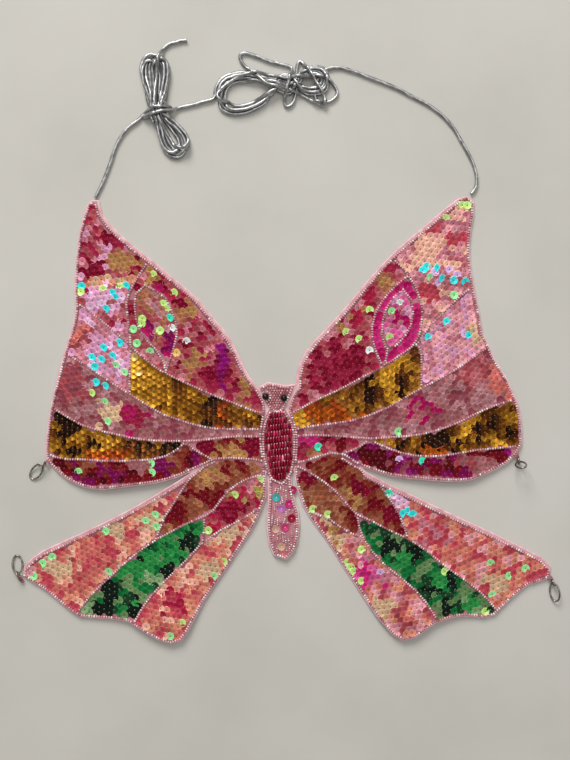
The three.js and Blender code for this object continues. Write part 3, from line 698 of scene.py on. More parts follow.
def sewn_places(loops, angle):
    """Sequin centres in staggered rows over a field, at least 1.3 mm in from its edge."""
    low, high = loops[0].min(0), loops[0].max(0)
    middle, reach = (low + high) / 2, np.linalg.norm(high - low) / 2 + 4
    cos, sin = math.cos(math.radians(angle)), math.sin(math.radians(angle))
    rows = np.arange(-reach, reach, SEQUIN_ACROSS)
    spots = [
        (u + (SEQUIN_ALONG / 2 if k % 2 else 0), v)
        for k, v in enumerate(rows)
        for u in np.arange(-reach, reach, SEQUIN_ALONG)
    ]
    spots = np.array(spots)
    spots = middle + np.column_stack(
        [spots[:, 0] * cos - spots[:, 1] * sin, spots[:, 0] * sin + spots[:, 1] * cos]
    )
    spots += speckle.uniform(-0.28, 0.28, spots.shape)
    spots = spots[inside(spots, loops)]
    far, near = edge_distance(spots, loops)
    kept = list(spots[far >= 1.3])
    for spot, place in zip(spots[far < 1.3], near[far < 1.3]):
        way = spot - place
        size = np.linalg.norm(way)
        if size > 0.2:
            moved = place + way / size * 1.35
            if np.hypot(*(np.array(kept) - moved).T).min() > 2.3:
                kept.append(moved)
    return np.array(kept)


def sequin_colours(places, palette, patches, painted_glints, seed):
    """A colour for each sequin: clusters of the palette's tones, patches of their own tones, and
    single painted glints, painted reflections of the window, as (across, up, colour)."""
    x, y = places[:, 0], places[:, 1]
    tone = 0.5 + 0.36 * cloud(x, y, 7.5, seed) + speckle.normal(0, 0.22, len(x))
    index = np.clip((tone * len(palette)).astype(int), 0, len(palette) - 1)
    colours = np.array([linear(c) for c in palette])[index]
    wobble = 1 + 0.3 * cloud(x, y, 7, seed + 5)
    for cx, cy, wide, high, tones in patches:
        here = np.hypot((x - cx) / wide, (y - cy) / high) < wobble + speckle.normal(0, 0.22, len(x))
        pick = speckle.integers(0, len(tones), len(x))
        colours[here] = np.array([linear(c) for c in tones])[pick][here]
    colours[:, :3] *= speckle.uniform(0.86, 1.14, (len(x), 1))
    # Each painted glint, a painted reflection of the window, recolours the sequin nearest it.
    for gx, gy, colour in painted_glints:
        nearest = np.argmin(np.hypot(x - gx, y - gy))
        colours[nearest] = linear(colour)
    return np.clip(colours, 0, 1)


def sew_field(name, angle, palette, patches, painted_glints, material, dots, lean=(0.09, -0.1), loose=0.06):
    """The sequins of one panel: rows at an angle in degrees, coloured and stitched. lean is how
    far their faces turn outwards and upwards, as slopes."""
    loops = rims(f"{name}_sequins")
    places = sewn_places(loops, angle)
    outward = -1 if "_left_" in name else 1
    x, y = places[:, 0], places[:, 1]
    bend = 0.05 * np.column_stack([cloud(x, y, 14, 3), cloud(x, y, 14, 4)])
    lean = np.array([lean[0] * outward, lean[1]]) + bend
    normals = np.column_stack([lean + speckle.normal(0, loose, (len(places), 2)), np.ones(len(places))])
    height = 1.62 + speckle.uniform(-0.03, 0.03, len(places))
    # The sequins that carry a painted glint sit higher, so their whole disc shows.
    for gx, gy, _ in painted_glints:
        nearest = np.argmin(np.hypot(x - gx, y - gy))
        height[nearest] += 0.24
    normals /= np.linalg.norm(normals, axis=1)[:, None]
    spin = speckle.uniform(0, 2 * math.pi, len(places))
    side = np.column_stack([np.cos(spin), np.sin(spin), np.zeros(len(places))])
    side -= normals * (side * normals).sum(1)[:, None]
    side /= np.linalg.norm(side, axis=1)[:, None]
    frames = np.stack([side, np.cross(normals, side), normals], axis=1)
    centres = np.column_stack([places, height])
    seed = sum(name.encode())
    tint = sequin_colours(places, palette, patches, painted_glints, seed)
    # A stitch dot is pale on a disc darker than the limit and dark on a lighter one: partly the thread's colour
    # and partly painted light, the pale dots a painted glint on the thread and the dark ones painted shade in the
    # hole.
    light = tint[:, :3] @ np.array([0.3, 0.59, 0.11])
    pale, dark, limit = dots
    stitch = np.where((light < limit)[:, None], np.array(linear(pale)), np.array(linear(dark)))
    colours = np.concatenate(
        [np.repeat(tint[:, None], len(sequin_points), 1), np.repeat(stitch[:, None], len(stitch_points), 1)], 1
    )
    # The two rings round each disc's sunken centre are painted a tenth darker: painted shade in the dip.
    colours[:, : 2 * SEQUIN_SIDES, :3] *= 0.9
    piece = stamped(f"{name}_discs", one_points, one_faces, centres, frames, colours, "sequin_tint")
    piece.data.materials.append(material)
    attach(piece, "butterfly")
    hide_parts(f"{name}_sequins")
    return len(places)


def sequin_finish(name, inputs, scuff_depth, depth=1.0):
    """A sequin material that takes each disc's own colour, times depth, and breaks it up with
    fine scuffs."""
    made = new_material(name)
    tint = node(made, "ShaderNodeAttribute", {"attribute_name": "sequin_tint"})
    spot = node(made, "ShaderNodeTexCoord")
    scuff = node(
        made, "ShaderNodeTexNoise", None, {"Scale": 700.0, "Detail": 4.0},
        {"Vector": spot.outputs["Object"]}
    )
    tone_shift = node(
        made, "ShaderNodeMapRange", None,
        {"From Min": 0.3, "From Max": 0.7, "To Min": depth - scuff_depth, "To Max": depth + scuff_depth},
        {"Value": scuff.outputs["Fac"]}
    )
    base = node(
        made, "ShaderNodeVectorMath", {"operation": "SCALE"}, None,
        {0: tint.outputs["Color"], "Scale": tone_shift.outputs[0]}
    )
    bump = node(
        made, "ShaderNodeBump", None, {"Strength": 0.12, "Distance": 0.0001},
        {"Height": scuff.outputs["Fac"]}
    )
    surface(made, inputs, {"Base Color": base.outputs[0], "Normal": bump.outputs[0]})
    return made


# Clear tinted PET punched from film over a reflecting back: the light comes back through its
# colour, so it looks deep and saturated, with soft highlights of the same tint.
clear_film = sequin_finish(
    "iridescent_tinted_pet_film",
    {"Roughness": 0.36, "Metallic": 0.2, "Specular IOR Level": 0.12},
    0.16,
    1.22,
)
# Vacuum-metallised PET: a mirror gold that turns nearly black where it faces away.
gold_film = sequin_finish(
    "metallised_gold_pet_film", {"Roughness": 0.4, "Metallic": 0.7, "Specular IOR Level": 0.3}, 0.12, 0.84
)
# Transparent green PET over dark thread: deep, glossy, uneven.
green_film = sequin_finish(
    "transparent_green_pet_film",
    {"Roughness": 0.32, "Metallic": 0.2, "Specular IOR Level": 0.12},
    0.2,
    1.2,
)
# Stitch dot colours as (pale, dark, lightness limit); the choice between them is partly painted light, a painted
# glint on the thread and painted shade in the hole.
PALE_DOTS = ("#b4485f", "#5e3a2c", 0.14)
GOLD_DOTS = ("#b98a5a", "#3c2408", 0.08)
GREEN_DOTS = ("#7d8c80", "#12301c", 0.04)
# Glint colours: painted reflections of the window, each put on a single sequin as its colour.
CYAN, AQUA, MINT, LIME, WHITE, LILAC = "#35e8ec", "#3ce6c0", "#9cf2a4", "#c6f08a", "#e6f2ee", "#d9b8e8"
# The film tones the wings are sewn from. The crimson to beige ones are partly each clear film's
# own tint and partly its iridescent reflection painted in: deep crimson where the film mirrors
# dark, beige where it mirrors light. Each field below picks a few of them, dark to light.
WINE, GARNET, RUBY, OLD_ROSE, DUSTY_ROSE = "#7a0828", "#982040", "#a81c40", "#a84c54", "#b86870"
ROSE_PINK, BLUSH, LILAC_PINK, PALE_LILAC = "#c87c8c", "#e4a0a8", "#dc9cc0", "#ecc0e0"
PLUM, PURPLE, MAGENTA, BRIGHT_MAGENTA, HOT_PINK = "#780c50", "#8c1070", "#a81058", "#c82878", "#d86098"
CORAL, SALMON, PEACH, PALE_PEACH, BEIGE = "#c04858", "#d07068", "#dc9078", "#ecb4a0", "#d4b090"
OXBLOOD, MAROON, RUST, CHESTNUT, TAN = "#500810", "#700c18", "#7c3020", "#905038", "#a86c50"
CAMEL, OLIVE = "#b08050", "#b0a058"
MAUVE_BROWN, DUSTY_MAUVE, PALE_MAUVE = "#8c4450", "#a06468", "#b88088"
# The golds are one mirror gold film with its reflections painted in: umber and dark bronze are painted dark
# reflection, bright and pale gold are painted bright reflection.
UMBER, DARK_BRONZE, BRONZE, OLD_GOLD, BROWN_GOLD = "#280f02", "#603004", "#885010", "#a87018", "#a06428"
GOLD, BRIGHT_GOLD, PALE_GOLD, COPPER, ORANGE_COPPER = "#c48828", "#e8a830", "#ecc070", "#a04010", "#c05c10"
BOTTLE, FOREST, EMERALD, LEAF = "#101c14", "#184024", "#147038", "#309048"
SAGE, PALE_SAGE = "#6c8c5c", "#88a878"
GOLD_LEAN, GOLD_LOOSE = (0.08, 0.05), 0.035  # the gold sequins are sewn flatter and more evenly

# ---------------------------------------------------------------- left forewing's sequins
# Deep rose and crimson at the shoulder, lilac-pink towards the tip, a dark gold band of mirror
# sequins across the middle, and a pale rose band at the outer edge. Its rows follow the wing.
sew_field("forewing_left_tip", 128, [GARNET, OLD_ROSE, DUSTY_ROSE, ROSE_PINK, LILAC_PINK], [
    (-108, 109, 5, 5, [GARNET, WINE]), (-117, 90, 8, 6, [GARNET, WINE]), (-90, 91, 5, 5, [GARNET, WINE]),
    (-97, 95, 8, 7, [TAN, CAMEL]), (-107, 82, 14, 3, [PEACH, BEIGE]), (-110, 73, 14, 8, [LILAC_PINK, PALE_LILAC])],
    [(-122, 79, CYAN), (-104, 77, CYAN), (-101, 74, CYAN), (-109, 67, CYAN), (-91, 77, CYAN),
     (-122, 76, LIME), (-110, 78, LIME), (-101, 80, LIME)],
    clear_film, PALE_DOTS)
sew_field("forewing_left_inner", 128, [WINE, GARNET, OLD_ROSE, DUSTY_ROSE, ROSE_PINK], [
    (-82, 87, 5, 5, [CAMEL, TAN]), (-60, 65, 6, 6, [CAMEL, TAN]), (-52, 33, 8, 7, [CAMEL, TAN]),
    (-24, 17, 6, 9, [CAMEL, TAN]), (-77, 75, 4, 4, [PURPLE, MAGENTA]), (-66, 76, 6, 5, [RUBY, OLD_ROSE]),
    (-42, 29, 10, 9, [WINE, GARNET]), (-38, 33, 4, 9, [PURPLE, PLUM]), (-18, 13, 6, 6, [GARNET])],
    [(-79, 86, LIME), (-68, 75, LIME), (-92, 54, MINT), (-89, 47, MINT), (-83, 41, MINT),
     (-59, 47, WHITE), (-65, 39, PALE_GOLD)],
    clear_film, PALE_DOTS)
sew_field("forewing_left_leaf", 132, [OLD_ROSE, TAN, PALE_MAUVE], [
    (-83, 52, 4, 5, [MAGENTA, PLUM]), (-70, 47, 3, 8, [MAGENTA, PLUM])],
    [(-73, 66, LIME), (-74, 69, LIME), (-88, 61, LIME), (-86, 59, LIME), (-76, 54, LIME),
     (-71, 61, AQUA), (-70, 55, WHITE)],
    clear_film, PALE_DOTS)
sew_field("forewing_left_ray", 140, [ROSE_PINK, LILAC_PINK, PALE_LILAC], [(-127, 51, 9, 8, [OLD_ROSE, SALMON])],
    [(-100, 46, CYAN), (-109, 44, CYAN), (-117, 39, CYAN), (-112, 36, CYAN), (-104, 40, CYAN),
     (-113, 32, CYAN), (-103, 32, MINT), (-97, 29, MINT)],
    clear_film, PALE_DOTS)
sew_field("forewing_left_pale_band", 8, [MAUVE_BROWN, DUSTY_MAUVE, PALE_MAUVE], [
    (-128, 21, 11, 11, [MAUVE_BROWN, OLD_ROSE]), (-92, 3, 9, 8, [MAGENTA, GARNET]),
    (-106, 4, 8, 8, [PALE_MAUVE, BEIGE]), (-62, -4, 18, 16, [MAUVE_BROWN, DUSTY_MAUVE])],
    [(-113, 23, CYAN), (-110, 21, CYAN), (-115, 17, LIME), (-107, 10, MINT), (-106, -1, MINT)],
    clear_film, PALE_DOTS)
sew_field("forewing_left_gold_band", 90, [DARK_BRONZE, BRONZE, OLD_GOLD, GOLD], [
    (-90, 30, 24, 34, [GOLD, BRIGHT_GOLD, OLD_GOLD]), (-58, 14, 9, 30, [BRONZE, OLD_GOLD]),
    (-46, 8, 5, 26, [UMBER, DARK_BRONZE]), (-37, 4, 5, 26, [COPPER, DARK_BRONZE, ORANGE_COPPER])],
    [(-91, 37, PALE_GOLD), (-89, 30, PALE_GOLD)],
    gold_film, GOLD_DOTS, GOLD_LEAN, GOLD_LOOSE)
sew_field("forewing_left_gold_hem", 90, [UMBER, DARK_BRONZE, BRONZE, OLD_GOLD, GOLD], [
    (-132, -2, 8, 7, [UMBER]), (-78, -20, 7, 5, [UMBER, DARK_BRONZE]), (-111, -10, 5, 5, [BRIGHT_GOLD, GOLD]),
    (-108, -20, 13, 3, [ORANGE_COPPER, COPPER])],
    [], gold_film, GOLD_DOTS, GOLD_LEAN, GOLD_LOOSE)
sew_field("forewing_left_hem", 4, [OXBLOOD, MAROON, PLUM, RUST], [
    (-137, -27, 4, 4, [OXBLOOD]), (-94, -36, 18, 3, [OXBLOOD, MAROON]), (-122, -28, 6, 4, [RUST, CHESTNUT]),
    (-67, -23, 5, 5, [RUST, CHESTNUT]), (-122, -37, 4, 3, [PLUM, PURPLE]), (-103, -34, 4, 3, [PLUM]),
    (-88, -27, 6, 4, [DUSTY_MAUVE])],
    [(-80, -26, MINT), (-80, -33, MINT), (-125, -32, MINT)],
    clear_film, PALE_DOTS)
sew_field("forewing_left_root", 20, [MAROON, RUST, CHESTNUT], [
    (-55, -16, 5, 5, [MAGENTA]), (-47, -18, 4, 4, [WINE]), (-20, -18, 5, 5, [WINE]),
    (-34, -18, 8, 5, [CAMEL, CHESTNUT])],
    [], clear_film, PALE_DOTS)

# ---------------------------------------------------------------- right forewing's sequins
# A paler peach and rose tip, a magenta leaf with a pink heart and a brown foot, and the gold
# band browner and darker than the left one's.
sew_field("forewing_right_tip", 52, [DUSTY_ROSE, ROSE_PINK, BLUSH, PALE_PEACH], [
    (83, 103, 9, 13, [PALE_PEACH]), (89, 115, 5, 5, [CORAL]), (102, 108, 5, 5, [CORAL]), (86, 75, 6, 6, [CORAL])],
    [(83, 92, CYAN), (83, 88, CYAN), (92, 90, CYAN), (94, 86, CYAN), (100, 85, CYAN), (106, 84, CYAN),
     (104, 131, LIME), (108, 127, LIME), (95, 121, LIME), (86, 84, MINT), (101, 76, MINT),
     (88, 87, LILAC), (97, 90, LILAC), (103, 88, LILAC), (90, 82, LILAC)],
    clear_film, PALE_DOTS)
sew_field("forewing_right_inner", 52, [WINE, GARNET, OLD_ROSE, DUSTY_ROSE, ROSE_PINK], [
    (60, 82, 7, 7, [CAMEL, TAN]), (42, 64, 5, 5, [CAMEL, TAN]), (34, 55, 4, 4, [CAMEL, TAN]),
    (50, 74, 5, 4, [RUBY]), (42, 60, 6, 4, [RUBY]), (35, 33, 18, 14, [WINE, GARNET])],
    [(51, 67, LIME), (37, 53, LIME), (43, 49, LIME), (50, 41, WHITE)],
    clear_film, PALE_DOTS)
sew_field("forewing_right_leaf", 48, [MAGENTA, BRIGHT_MAGENTA], [(81, 45, 8, 8, [OLIVE])],
    [], clear_film, PALE_DOTS)
sew_field("forewing_right_leaf_heart", 48, [HOT_PINK, ROSE_PINK, LILAC_PINK], [(72, 58, 5, 6, [MAGENTA])],
    [(69, 70, WHITE), (62, 65, MINT), (62, 50, LIME)], clear_film, PALE_DOTS)
sew_field("forewing_right_ray", 40, [ROSE_PINK, BLUSH, LILAC_PINK], [(118, 52, 8, 5, [BEIGE])],
    [(98, 59, CYAN), (83, 53, CYAN), (110, 50, CYAN), (107, 51, LILAC)],
    clear_film, PALE_DOTS)
sew_field("forewing_right_pale_band", 172, [MAUVE_BROWN, DUSTY_MAUVE, PALE_MAUVE], [
    (80, 6, 8, 8, [MAGENTA, DUSTY_ROSE]), (113, 30, 13, 10, [OLD_ROSE, DUSTY_ROSE]), (129, 21, 7, 8, [SALMON])],
    [(69, -7, MINT)], clear_film, PALE_DOTS)
sew_field("forewing_right_gold_band", 90, [DARK_BRONZE, BRONZE, BROWN_GOLD, GOLD], [
    (66, 24, 9, 12, [BRIGHT_GOLD, GOLD]), (77, 41, 4, 6, [DARK_BRONZE]), (72, 22, 5, 8, [DARK_BRONZE]),
    (50, 21, 3, 12, [UMBER]), (70, 16, 3, 6, [UMBER]), (23, 5, 15, 7, [COPPER, ORANGE_COPPER]),
    (5, 0, 6, 6, [BRIGHT_GOLD])],
    [], gold_film, GOLD_DOTS, GOLD_LEAN, GOLD_LOOSE)
sew_field("forewing_right_gold_hem", 90, [UMBER, DARK_BRONZE, BRONZE, OLD_GOLD, GOLD], [
    (89, -12, 6, 5, [UMBER]), (113, 3, 3, 6, [UMBER]), (109, -4, 4, 5, [BRIGHT_GOLD]),
    (128, -14, 5, 4, [BRIGHT_GOLD]), (89, -18, 8, 3, [ORANGE_COPPER])],
    [], gold_film, GOLD_DOTS, GOLD_LEAN, GOLD_LOOSE)
sew_field("forewing_right_hem", 176, [OXBLOOD, MAROON, PLUM, MAUVE_BROWN], [
    (55, -24, 8, 6, [OXBLOOD]), (72, -30, 4, 4, [PLUM, PURPLE]), (120, -28, 7, 3, [PLUM, PURPLE]),
    (135, -18, 4, 4, [PLUM, PURPLE]), (114, -26, 12, 4, [DUSTY_MAUVE, OLD_ROSE])],
    [(82, -25, AQUA), (67, -24, LILAC)], clear_film, PALE_DOTS)
sew_field("forewing_right_root", 160, [WINE, GARNET, OLD_ROSE], [
    (15, -13, 5, 4, [BRIGHT_MAGENTA]), (34, -14, 6, 4, [MAROON]), (19, -22, 5, 4, [TAN])],
    [(19, -15, AQUA)], clear_film, PALE_DOTS)

# ---------------------------------------------------------------- left hindwing's sequins
# Coral and beige round the outside, brown-red shoulder, and a green eye patch of transparent
# sequins that runs from nearly black to bright leaf green.
sew_field("hindwing_left_outer", 35, [CORAL, SALMON, PEACH, PALE_PEACH], [
    (-136, -90, 8, 7, [BEIGE]), (-103, -64, 7, 5, [BEIGE]), (-82, -61, 6, 5, [BEIGE]),
    (-115, -85, 9, 16, [CORAL, SALMON]), (-155, -92, 6, 6, [PALE_MAUVE, BLUSH])],
    [(-146, -86, MINT), (-152, -93, MINT), (-140, -81, MINT), (-110, -64, MINT), (-107, -91, MINT),
     (-83, -62, MINT), (-79, -57, MINT), (-73, -65, MINT)],
    clear_film, PALE_DOTS)
sew_field("hindwing_left_shoulder", 28, [MAROON, RUST, CHESTNUT, TAN], [
    (-47, -34, 9, 6, [CAMEL, TAN]), (-49, -46, 7, 5, [MAROON]), (-67, -57, 6, 5, [MAROON])],
    [], clear_film, PALE_DOTS)
sew_field("hindwing_left_green", 30, [FOREST, EMERALD, LEAF, SAGE], [
    (-107, -102, 6, 6, [BOTTLE]), (-86, -86, 5, 4, [BOTTLE]), (-71, -93, 5, 5, [BOTTLE]),
    (-110, -114, 5, 5, [BOTTLE]), (-91, -112, 4, 4, [BOTTLE]), (-58, -72, 5, 5, [BOTTLE]),
    (-88, -88, 11, 9, [LEAF]), (-121, -114, 4, 4, [PALE_SAGE]), (-80, -96, 5, 4, [PALE_SAGE])],
    [], green_film, GREEN_DOTS)
sew_field("hindwing_left_root", 60, [RUBY, OLD_ROSE, OLIVE], [
    (-34, -55, 9, 9, [WINE, GARNET]), (-22, -38, 5, 5, [DUSTY_ROSE, ROSE_PINK])],
    [(-32, -46, LIME), (-46, -66, LIME), (-15, -33, LIME)],
    clear_film, PALE_DOTS)
sew_field("hindwing_left_lower", 50, [CORAL, SALMON, PEACH, PALE_PEACH], [
    (-68, -110, 7, 9, [RUBY, CORAL]), (-35, -69, 7, 6, [BEIGE]), (-46, -90, 5, 6, [BEIGE])],
    [(-36, -85, LIME), (-44, -94, MINT), (-63, -122, LIME), (-68, -129, MINT)],
    clear_film, PALE_DOTS)

# ---------------------------------------------------------------- right hindwing's sequins
# Mirror of the left one in cut, with its own colours: rose and mauve outside, beige-brown root.
sew_field("hindwing_right_outer", 145, [CORAL, SALMON, PEACH, BLUSH], [
    (89, -69, 10, 8, [CORAL, ROSE_PINK]), (125, -99, 8, 6, [BEIGE]), (71, -48, 5, 4, [PALE_LILAC])],
    [(74, -53, CYAN), (76, -56, CYAN), (71, -56, CYAN), (62, -44, AQUA), (122, -85, MINT),
     (143, -88, MINT), (134, -92, MINT), (121, -105, MINT)],
    clear_film, PALE_DOTS)
sew_field("hindwing_right_shoulder", 152, [MAROON, RUST, CHESTNUT], [
    (39, -46, 8, 6, [TAN, CAMEL]), (47, -42, 6, 4, [WINE]), (63, -55, 6, 5, [WINE])],
    [(30, -36, LIME)], clear_film, PALE_DOTS)
sew_field("hindwing_right_green", 150, [FOREST, EMERALD, SAGE], [
    (63, -76, 6, 5, [BOTTLE]), (78, -80, 4, 4, [BOTTLE]), (86, -100, 10, 6, [BOTTLE, FOREST]),
    (97, -112, 4, 4, [BOTTLE]), (100, -96, 5, 4, [BOTTLE]), (71, -84, 5, 5, [LEAF]),
    (92, -96, 4, 4, [LEAF]), (113, -110, 7, 6, [LEAF, PALE_SAGE])],
    [(95, -91, LIME), (119, -115, LIME)], green_film, GREEN_DOTS)
sew_field("hindwing_right_root", 120, [MAROON, RUST, CHESTNUT], [
    (23, -52, 12, 12, [TAN, CHESTNUT]), (14, -36, 5, 5, [WINE])],
    [(16, -52, LIME), (22, -62, LIME)], clear_film, PALE_DOTS)
sew_field("hindwing_right_lower", 130, [OLD_ROSE, SALMON, ROSE_PINK, PEACH, BLUSH], [
    (27, -72, 9, 7, [CAMEL, BEIGE]), (57, -112, 7, 6, [BEIGE]), (48, -93, 8, 7, [HOT_PINK, BRIGHT_MAGENTA])],
    [(38, -84, LIME), (37, -90, LIME), (38, -92, LIME), (43, -97, LIME), (45, -78, LIME), (58, -91, LILAC)],
    clear_film, PALE_DOTS)

# ---------------------------------------------------------------- bead lines of the four wings
# Single strings of 1.5 mm pale pink seed beads, couched down along every seam and hem. Each bead
# is a short rounded tube on its thread.
BEAD = 1.5
BEAD_PITCH = 1.5
BEAD_PROFILE = [(0, 0.48), (0.34, 0.52), (0.68, 0.34), (0.77, 0.0), (0.68, -0.34), (0.34, -0.52), (0, -0.48)]
bead_points, bead_faces = turned_rings(BEAD_PROFILE, 8)


def glass_finish(name, inputs, mottle):
    """A bead glass that takes each bead's own colour, streaked a little along the bead."""
    made = new_material(name)
    tint = node(made, "ShaderNodeAttribute", {"attribute_name": "bead_tint"})
    spot = node(made, "ShaderNodeTexCoord")
    streak = node(
        made, "ShaderNodeTexNoise", None, {"Scale": 1500.0, "Detail": 2.0},
        {"Vector": spot.outputs["Object"]}
    )
    depth = node(
        made, "ShaderNodeMapRange", None, {"To Min": 1 - mottle, "To Max": 1 + mottle},
        {"Value": streak.outputs["Fac"]}
    )
    base = node(
        made, "ShaderNodeVectorMath", {"operation": "SCALE"}, None,
        {0: tint.outputs["Color"], "Scale": depth.outputs[0]}
    )
    bump = node(
        made, "ShaderNodeBump", None, {"Strength": 0.15, "Distance": 0.00008},
        {"Height": streak.outputs["Fac"]}
    )
    surface(made, inputs, {"Base Color": base.outputs[0], "Normal": bump.outputs[0]})
    return made


# Silver-lined pink glass seed beads with a pearly coat: bright, hard little highlights.
pearl_glass = glass_finish(
    "pearly_pink_seed_bead_glass", {"Roughness": 0.16, "Coat Weight": 0.7, "Coat Roughness": 0.05}, 0.3
)


def thread_places(loops, inset, pitch, apart):
    """Bead centres and thread directions along outlines, each outline's string set inset mm into
    the piece, leaving out beads that would sit on one already placed."""
    places, ways = [], []
    for loop in loops:
        run = resampled(moved_in(resampled(loop, 0.8), inset), pitch)
        heading = np.roll(run, -1, 0) - np.roll(run, 1, 0)
        for spot, way in zip(run, heading):
            if not places or np.hypot(*(np.array(places) - spot).T).min() > apart:
                places.append(spot)
                ways.append(way / max(np.linalg.norm(way), 1e-6))
    return np.array(places), np.array(ways)


def strung(places, ways, height):
    """Places and axes of beads lying along their thread directions at a height."""
    along = np.column_stack([ways, np.zeros(len(ways))])
    along[:, 2] = speckle.normal(0, 0.06, len(along))
    along /= np.linalg.norm(along, axis=1)[:, None]
    up = np.array([0, 0, 1.0]) - along * along[:, 2:]
    up /= np.linalg.norm(up, axis=1)[:, None]
    frames = np.stack([up, np.cross(along, up), along], axis=1)
    return np.column_stack([places, np.broadcast_to(height, len(places))]), frames


def bead_colours(count, tones, weights, points):
    """A tone for each bead, repeated over its points."""
    pick = speckle.choice(len(tones), count, p=np.array(weights) / sum(weights))
    colours = np.array([linear(c) for c in tones])[pick]
    colours[:, :3] *= speckle.uniform(0.8, 1.2, (count, 1))
    return np.repeat(np.clip(colours, 0, 1)[:, None], points, 1)


def bead_piece(name, places, ways, height, tones, weights, material, shape=(bead_points, bead_faces)):
    """One mesh of beads strung along directions, riding the cloth."""
    centres, frames = strung(places, ways, height)
    colours = bead_colours(len(places), tones, weights, len(shape[0]))
    piece = stamped(name, *shape, centres, frames, colours, "bead_tint")
    piece.data.materials.append(material)
    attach(piece, "butterfly")
    return piece


WINGS = ("forewing_left", "forewing_right", "hindwing_left", "hindwing_right")
for wing in WINGS:
    places, ways = thread_places(rims(f"{wing}_bead_lines"), BEAD / 2, BEAD_PITCH, 1.3)
    piece = bead_piece(
        f"{wing}_seed_beads", places, ways, 1.85, ["#f0c4cb", "#e2aab4", "#cf929b", "#b06c76", "#fff4f2"],
        [5, 4, 3, 1.2, 2], pearl_glass,
    )
    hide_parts(f"{wing}_bead_lines")

# ---------------------------------------------------------------- head and eyes
# The head is packed with dusty pink seed beads in slanting rows inside a paler beaded border.
# The eyes are two round black glass beads, 4 mm across.
BORDER_TONES, BORDER_SHARES = ["#f0c4cb", "#e2aab4", "#cf929b", "#fff4f2"], [4, 3, 2, 1.5]
head_loops = rims("head_beads")
border_places, border_ways = thread_places(head_loops[:1], BEAD / 2, BEAD_PITCH, 1.3)
low, high = head_loops[0].min(0), head_loops[0].max(0)
packed = np.array([
    (x + (0.75 if k % 2 else 0), y)
    for k, y in enumerate(np.arange(low[1], high[1], 1.45))
    for x in np.arange(low[0], high[0], 1.55)
])
far, _ = edge_distance(packed, head_loops[:1])
packed = packed[inside(packed, head_loops[:1]) & (far > 2.1)]
eyes = [tuple((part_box(name)[0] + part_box(name)[1]) / 2 / MM) for name in ("eye_left", "eye_right")]
for ex, ey, _ in eyes:
    packed = packed[np.hypot(packed[:, 0] - ex, packed[:, 1] - ey) > 2.1]
tangled = speckle.normal(0, 0.35, len(packed))
packed_ways = np.column_stack([np.cos(tangled), np.sin(tangled)])
# Dusty pink glass, matt enough to look soft between the brighter border beads.
dusty_glass = glass_finish(
    "dusty_pink_seed_bead_glass", {"Roughness": 0.26, "Coat Weight": 0.4, "Coat Roughness": 0.1}, 0.35
)
head = bead_piece(
    "head_packed_beads", packed, packed_ways, 1.85, ["#c07c80", "#cf8e92", "#e0a6aa", "#9c5c62"],
    [4, 4, 3, 1], dusty_glass
)
bead_piece(
    "head_border_beads", border_places, border_ways, 1.85, BORDER_TONES, BORDER_SHARES, pearl_glass,
)
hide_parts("head_beads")

# Black glass, fire-polished: deep, very glossy, with a few fine surface ripples.
jet = new_material("black_fire_polished_glass")
spot = node(jet, "ShaderNodeTexCoord")
ripple = node(
    jet, "ShaderNodeTexNoise", None, {"Scale": 900.0, "Detail": 2.0}, {"Vector": spot.outputs["Object"]}
)
jet_colour = ramp(jet, ripple.outputs["Fac"], [(0.35, "#08080a"), (0.65, "#1a1518")])
jet_bump = node(
    jet, "ShaderNodeBump", None, {"Strength": 0.1, "Distance": 0.0001}, {"Height": ripple.outputs["Fac"]}
)
surface(
    jet, {"Roughness": 0.1, "Specular IOR Level": 0.35},
    {"Base Color": jet_colour, "Normal": jet_bump.outputs[0]}
)
EYE_PROFILE = [(0, 2.0)] + [(2.0 * math.sin(a), 2.0 * math.cos(a))
for a in np.linspace(0, math.pi, 16)[1:-1]] + [(0, -2.0)]
eye_points, eye_faces = turned_rings(EYE_PROFILE, 24)
for name, (ex, ey, ez) in zip(("eye_left", "eye_right"), eyes):
    eye = mesh_piece(f"{name}_glass_bead", lay(eye_points + np.array([ex, ey, ez])), eye_faces)
    eye.data.materials.append(jet)
    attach(eye, "butterfly")
    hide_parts(name)

# ---------------------------------------------------------------- body
# Crimson glass bugle beads stand in close columns, in ten rows that climb slightly to the right,
# over a padded middle, with a tiny pale bead at each bugle's top end, whose pale colour stands
# partly for the glints along the rows as painted highlight, and a pale beaded border.
BUGLE_LENGTH = 3.7
BUGLE_PITCH = 1.65
BUGLE_PROFILE = [(0, 1.75), (0.5, 1.78), (0.74, 1.6), (0.78, 0.0), (0.74, -1.6), (0.5, -1.78), (0, -1.75)]
bugle = turned_rings(BUGLE_PROFILE, 8)
body_loops = rims("body_beads")
low, high = body_loops[0].min(0), body_loops[0].max(0)
columns = np.array([
    (x + (0.5 if k % 2 else 0.0), low[1] + (k + 0.5) * BUGLE_LENGTH + 0.14 * (x - low[0]))
    for k in range(-2, int((high[1] - low[1]) / BUGLE_LENGTH) + 2)
    for x in np.arange(low[0], high[0], BUGLE_PITCH)
])
columns[:, 0] += speckle.normal(0, 0.07, len(columns))
far, _ = edge_distance(columns, body_loops[:1])
columns = columns[inside(columns, body_loops[:1]) | (far < 0.3)]
far, _ = edge_distance(columns, body_loops[:1])
upright = math.pi / 2 + speckle.normal(0, 0.07, len(columns))
